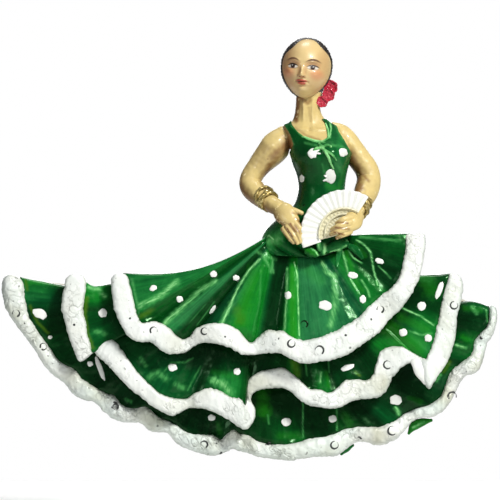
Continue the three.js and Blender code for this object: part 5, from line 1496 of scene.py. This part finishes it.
def face_point(direction, swell=0.0):
    """The bare egg of the head in each direction, before the forms of the face."""
    x, y, z = direction.T
    low = np.clip(-z, 0, 1)
    narrow = 1 - 0.22 * low**2
    set_in = np.where(y < 0, 1 - 0.08 * low, 1 - 0.34 * low)
    broad = 1 + 0.03 * np.exp(-(((z - 0.35) / 0.3) ** 2))
    size = np.array(HEAD_SIZE) + swell
    return np.column_stack([x * narrow * broad * size[0], y * set_in * size[1], z * size[2]])


def build_head():
    """The head with the forms of its face, which also keeps face coordinates for the paint."""
    def place(s, t):
        around, down = 2 * math.pi * s, math.pi * t
        ring = np.sin(down)
        direction = np.column_stack([np.sin(around) * ring, np.cos(around) * ring, np.cos(down)])
        points = face_point(direction)
        x, z = points[:, 0].copy(), points[:, 2].copy()
        front = np.clip(-direction[:, 1] * 1.6, 0, 1)
        for form_x, form_z, wide, tall, out in FACE_FORMS:
            for side in ((1, -1) if form_x else (1,)):
                away = ((x - side * form_x) / wide) ** 2 + ((z - form_z) / tall) ** 2
                points[:, 1] -= out * np.exp(-away) * front
        points[:, 1] -= 0.02 * rough(points, 0.9, 4) * front
        return on_head(points), {"face_x": x, "face_z": z, "face_y": points[:, 1]}

    return mapped_grid(280, 250, place)


def build_hair_cap():
    """Combed-back hair: a skin over the back of the head that tucks in along the hairline."""
    def place(s, t):
        around = 2 * math.pi * s
        outside = t <= HAIRLINE
        run = np.where(outside, t / HAIRLINE, (1 - t) / (1 - HAIRLINE))
        sideways, upward = np.sin(around), np.cos(around)
        low = np.clip(-upward, 0, 1)
        corner = np.exp(-(((np.abs(around - math.pi) - 2.45) / 0.4) ** 2))
        low_left = np.clip(-sideways, 0, 1) * low
        reach = 0.535 - 0.06 * sideways + 0.115 * corner - 0.1 * low**2 + 0.12 * low_left
        polar = math.pi * reach * run
        direction = np.column_stack([sideways * np.sin(polar), np.cos(polar), upward * np.sin(polar)])
        thin = np.sqrt(np.clip(1 - run**8, 0, 1))
        swell = np.where(outside, -0.1 + 0.5 * thin, -0.1 - 0.5 * (1 - run))
        comb = 0.035 * np.sin(around * 62 + 2.2 * np.sin(polar * 3)) + 0.02 * np.sin(around * 27 + 1)
        bare = face_point(direction)
        outward = face_point(direction, 1.0) - bare
        return on_head(bare + outward * (swell + comb * thin * outside)[:, None]), {}

    return mapped_grid(300, 90, place)


def build_bun():
    """A low coil of hair at the nape."""
    def place(s, t):
        around, down = 2 * math.pi * s, math.pi * t
        coil = 1 + 0.045 * np.sin(around + down * 7) + 0.008 * np.sin(around * 30 + down * 8)
        x = BUN_MIDDLE[0] + BUN_RADIUS * np.sin(around) * np.sin(down) * coil
        y = BUN_MIDDLE[1] - BUN_DEPTH * np.cos(down) * (1 + 0.03 * np.sin(down * 7 + around))
        z = BUN_MIDDLE[2] + BUN_RADIUS * np.cos(around) * np.sin(down) * coil
        return np.column_stack([x, y, z]), {}

    return mapped_grid(120, 90, place)


def petal(middle, turn, lean, wide, long, seed):
    """One cupped, ruffled petal."""
    place_in = Matrix.Rotation(turn, 4, "Y") @ Matrix.Rotation(lean, 4, "X")
    place_in = Matrix.Translation(middle) @ place_in

    def place(s, t):
        front, v = both_faces(t)
        across = (s - 0.5) * 2
        width = wide * np.sqrt(np.clip(1 - (2 * v - 1) ** 2 * np.where(v > 0.5, 1, 0.55), 0.02, 1))
        edge = np.sqrt(np.clip(1 - across**8, 0, 1)) * np.sqrt(np.clip(1 - v**10, 0, 1))
        cup = 0.45 * across**2 * wide - 0.35 * v * (1 - v) * long
        ruffle = 0.09 * np.sin(across * 7 + seed) * v**2
        half = np.where(front, -0.13, 0.13) * edge
        points = np.column_stack([across * width, -(cup + ruffle) + half, v * long])
        return np.array([place_in @ Vector(p) for p in points]), {}

    return mapped_grid(24, 28, place)


def build_flower():
    """Three blooms, each of rings of petals."""
    bm = bmesh.new()
    for number, (middle, size) in enumerate(FLOWER_MIDDLES):
        for ring, (count, lean, share, back) in enumerate(PETAL_RINGS):
            centre = (middle[0], middle[1] + back, middle[2])
            wide, long = size * 0.62 * share, size * 1.25 * share
            for step in range(count):
                turn = 2 * math.pi * (step + 0.4 * ring + 0.2 * number) / count
                add_to(bm, petal(centre, turn, lean, wide, long, step + ring * 1.7))
    return blended(bm, 0.07, 1)


finished("head", build_head(), "face", "head")
finished("hair_cap", build_hair_cap(), "hair", "hair_cap")
finished("hair_bun", build_bun(), "hair", "hair_bun")
finished("hair_flower", build_flower(), "red", "hair_flower")

# ---- Paint dots and moulded rings -------------------------------------------------------------

# Dots on each cloth: x, z, half width, half height, lean in degrees.
DOTS = {
    "upper_flounce": [
        (-17.3, 9.4, 0.75, 0.5, 25), (-12.6, 7.4, 0.62, 0.6, 0), (-6.5, 11.9, 0.7, 0.6, 20),
        (-2.5, 11.2, 0.6, 0.55, 0), (-6.7, 5.5, 0.95, 0.32, 55), (6.8, 8.1, 0.62, 0.7, 0),
        (13.5, 6.3, 1.25, 0.9, -10), (18.4, 11.7, 0.9, 0.62, -15), (23.2, 14.2, 0.85, 0.5, -20),
        (20.2, 7.4, 0.6, 0.75, 0),
    ],
    "middle_flounce": [
        (-26.4, 4.9, 0.85, 0.8, 0), (-13.9, -4.9, 0.85, 0.7, 0), (-2.3, -5.6, 0.7, 0.65, 0),
        (17.5, -4.9, 1.3, 0.55, 20), (30.8, 6.1, 0.8, 0.85, 0), (27.5, 1.4, 0.75, 0.7, 0),
        (32, 0.4, 0.7, 0.7, 0), (34, 9, 0.5, 1.75, -20),
    ],
    "lower_flounce": [
        (-37.8, 4.7, 1.5, 0.85, -25), (-28.8, -4.3, 0.55, 0.5, 0), (-27, -5.1, 0.5, 2.4, 20),
        (-6.9, -14, 0.7, 0.6, 0), (6.5, -14.8, 0.9, 0.8, 0), (14.9, -14.2, 0.75, 0.65, 0),
        (26.3, -10.8, 1.15, 0.95, 0), (-36, 0.5, 0.4, 0.35, 0),
    ],
    "bodice": [
        (11.2, 33.5, 0.9, 0.9, 0), (16.7, 33.7, 0.82, 0.8, 0), (14.5, 29.4, 1.05, 1.35, 0),
        (9.3, 29, 0.42, 0.75, 0), (12.1, 34, 0.5, 0.2, 30), (12.3, 33.5, 0.42, 0.18, -10),
        (13.5, 28.7, 0.45, 0.22, 15), (13.6, 29.4, 0.4, 0.2, -30),
    ],
    "hip_yoke": [(9.1, 18.9, 0.4, 0.5, 0)],
}
# Rings pressed into the lace and the cloth: x, z, radius.
RING_MARKS = {
    "upper_trim": [
        (-17.2, 1.8, 0.65), (-8.1, 1.7, 0.58), (7.4, -0.5, 0.65), (12.4, -1.7, 0.75), (23.3, 5.6, 0.61),
    ],
    "middle_trim": [(24.7, -4.4, 0.71), (36.6, 6.3, 0.65), (-24.2, -12, 0.48)],
    "lower_trim": [
        (36.4, -10.1, 0.75), (25.6, -16.3, 0.75), (15.2, -18.9, 0.65), (-8.3, -18.8, 0.65),
        (-42.1, 4.8, 0.61), (-37.2, -1.2, 0.58), (-24.4, -11.8, 0.58), (3.4, -19, 0.54),
    ],
    "middle_flounce": [(-13.9, -4.9, 0.34), (-26.4, 4.9, 0.34), (30.8, 6.1, 0.34)],
    "lower_flounce": [(6.5, -14.8, 0.34), (27.2, -11.4, 0.54)],
    "upper_flounce": [(9.7, 2.9, 0.61)],
}
# Open air bubbles: x, z, radius.
PINHOLES = {
    "upper_trim": [
        (-21.4, 3.9, 0.28), (-10.2, 1.3, 0.24), (-4.5, 0.7, 0.3), (5.2, 0.4, 0.28), (17.1, 0.9, 0.3),
        (21.6, 3.8, 0.26),
    ],
    "middle_trim": [(-31.5, 2.7, 0.3), (28.8, 13.6, 0.28)],
    "lower_trim": [
        (-40.5, 3, 0.3), (41.6, 0.4, 0.3), (-6.1, -18.6, 0.28), (-5.3, -20.2, 0.32), (3.2, -18.9, 0.26),
        (20, -17.6, 0.26),
    ],
}
DAUB_TOP = 0.6  # share of a daub's rows that make its dome
DAUB_HEIGHT = 0.16
DAUB_REACH = 1.6  # a daub follows the cloth this far forward and back, and no further


def daub(tree, x, z, wide, tall, lean, seed):
    """A blob of thick paint dropped on the cloth."""
    turn = math.radians(lean)
    centre_depth = depth_at(tree, x, z, -12)

    def place(s, t):
        around = 2 * math.pi * s
        outward = np.where(t < DAUB_TOP, t / DAUB_TOP, (1 - t) / (1 - DAUB_TOP))
        rim = np.column_stack([np.cos(around), np.sin(around), np.zeros_like(s)])
        shaped = outward * (1 + 0.22 * rough(rim, 0.6, seed))
        a, b = np.cos(around) * wide * shaped, np.sin(around) * tall * shaped
        px = x + a * math.cos(turn) - b * math.sin(turn)
        pz = z + a * math.sin(turn) + b * math.cos(turn)
        depth = np.array([depth_at(tree, u, v, centre_depth) for u, v in zip(px, pz)])
        depth = np.clip(depth, centre_depth - DAUB_REACH, centre_depth + DAUB_REACH)
        dome = DAUB_HEIGHT * np.sqrt(np.clip(1 - outward**2.5, 0, 1)) + 0.015
        y = depth + np.where(t < DAUB_TOP, -dome, 0.12 * (1 - outward) + 0.01)
        return np.column_stack([px, y, pz]), {}

    return mapped_grid(36, 18, place)


def pressed_ring(tree, x, z, radius, seed):
    """A ring pressed by a bead into the mould, with dark wash left in part of it."""
    generator = np.random.default_rng(seed)
    start, sweep = generator.uniform(0, 6.28), generator.uniform(3.6, 5.6)
    middle_depth = depth_at(tree, x, z, -10)
    arc = []
    for angle in start + sweep * np.linspace(0, 1, 26):
        u, v = x + radius * math.cos(angle), z + radius * math.sin(angle)
        arc.append((u, depth_at(tree, u, v, middle_depth) + 0.04, v))
    radii = 0.13 * (1 + 0.5 * np.sin(np.linspace(0, 5, 26) + seed))
    return tube(arc, radii, 0.6, 10, 60)


def pinhole(tree, x, z, radius, seed):
    """A dark bead set in where an air bubble opened."""
    depth = depth_at(tree, x, z, -10) + radius * 0.5
    path = [(x, depth, z + radius * 0.3), (x, depth, z), (x, depth, z - radius * 0.3)]
    return tube(path, [radius] * 3, 0.6, 16, 16, wobble=0.05, seed=seed)


surfaces = {f"{name}_flounce": piece for name, piece in flounce_pieces.items()}
surfaces.update({f"{name}_trim": piece for name, piece in band_pieces.items()})
surfaces.update({"bodice": bodice, "hip_yoke": yoke})
trees = {name: surface_of(piece) for name, piece in surfaces.items()}
for cloth, dots in DOTS.items():
    bm = bmesh.new()
    for number, dot in enumerate(dots):
        add_to(bm, daub(trees[cloth], *dot, number))
    finished(f"{cloth}_dots", bm, "dot")
for cloth, tree in trees.items():
    bm = bmesh.new()
    for number, mark in enumerate(RING_MARKS.get(cloth, [])):
        add_to(bm, pressed_ring(tree, *mark, number + len(cloth)))
    for number, hole in enumerate(PINHOLES.get(cloth, [])):
        add_to(bm, pinhole(tree, *hole, number))
    if bm.verts:
        finished(f"{cloth}_marks", bm, "ink" if "trim" in cloth else "green")
    else:
        bm.free()

# ---- Backing and magnet -----------------------------------------------------------------------

PLAIN_NODES = (("backing", bare_resin()), ("magnet", ferrite()), ("magnet_glue", set_glue()))
for node, material in PLAIN_NODES:
    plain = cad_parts[node]
    plain.data.materials.clear()
    plain.data.materials.append(material)

# ---- Floor, light and camera ------------------------------------------------------------------

FLOOR_DROP = 0.011  # the magnet holds the figure up, this far clear of the floor
FLOOR_SIZE = 0.17
LIGHTS_AIM = (0.005, -0.01, 0.015)
CAMERA_PLACE = (0, -1.009, 0.0162)
CAMERA_LENS, CAMERA_FILM = 400, 36


def build_floor():
    """A plain white card under the figure."""
    bm = bmesh.new()
    bmesh.ops.create_grid(bm, x_segments=1, y_segments=1, size=FLOOR_SIZE)
    bmesh.ops.translate(bm, verts=bm.verts[:], vec=(0, 0, CAD_BOX[0][2] - FLOOR_DROP))
    mesh = mesh_of("floor", bm)
    card = Finish("floor_card", 500.0, 0.0)
    tone = card.mix(card.noise(60, 3), (0.93, 0.93, 0.92), (0.9, 0.9, 0.89))
    sheen = card.span(card.noise(300), 0.3, 0.7, 0.7, 0.8)
    mesh.materials.append(card.done(Base_Color=tone, Roughness=sheen))
    floor = into_scene("floor", mesh)


def soft_light(name, place, size, watts, colour=(1, 1, 1)):
    """A round soft light that looks at the figure."""
    lamp = bpy.data.lights.new(name, "AREA")
    lamp.shape = "DISK"
    lamp.size = size
    lamp.energy = watts
    lamp.color = colour
    holder = into_scene(name, lamp)
    holder.location = place
    holder.rotation_euler = (Vector(LIGHTS_AIM) - Vector(place)).to_track_quat("-Z", "Y").to_euler()


def build_studio():
    """A white backdrop, a weak cool fill from all round, and four lights."""
    world = bpy.data.worlds.new("studio")
    world.use_nodes = True
    studio = Nodes(world.node_tree)
    studio.tree.nodes.clear()
    backdrop = studio.node("Background")
    studio.feed(backdrop.inputs["Color"], (1, 1, 1))
    fill = studio.node("Background")
    studio.feed(fill.inputs["Color"], (0.92, 0.96, 1))
    studio.feed(fill.inputs["Strength"], 0.17)
    choose = studio.node("MixShader")
    studio.feed(choose.inputs[0], studio.node("LightPath").outputs["Is Camera Ray"])
    studio.feed(choose.inputs[1], fill.outputs[0])
    studio.feed(choose.inputs[2], backdrop.outputs[0])
    studio.feed(studio.node("OutputWorld").inputs["Surface"], choose.outputs[0])
    bpy.context.scene.world = world
    soft_light("key", (0.3, -0.42, 0.4), 0.13, 4.3, (1, 0.99, 0.96))
    soft_light("fill", (-0.4, -0.5, 0.15), 0.2, 0.5, (0.94, 0.97, 1))
    soft_light("top", (0.0, 0.15, 0.5), 0.2, 0.9)
    soft_light("back_fill", (0.0, 0.6, 0.1), 0.3, 1.2)


def build_camera():
    """A long lens straight in front."""
    lens = bpy.data.cameras.new("camera")
    lens.lens = CAMERA_LENS
    lens.sensor_width = CAMERA_FILM
    lens.clip_start = 0.05
    lens.clip_end = 20
    camera = into_scene("camera", lens)
    camera.location = CAMERA_PLACE
    camera.rotation_euler = (math.pi / 2, 0, 0)
    bpy.context.scene.camera = camera


build_floor()
build_studio()
build_camera()
bpy.context.scene.view_settings.view_transform = "Standard"
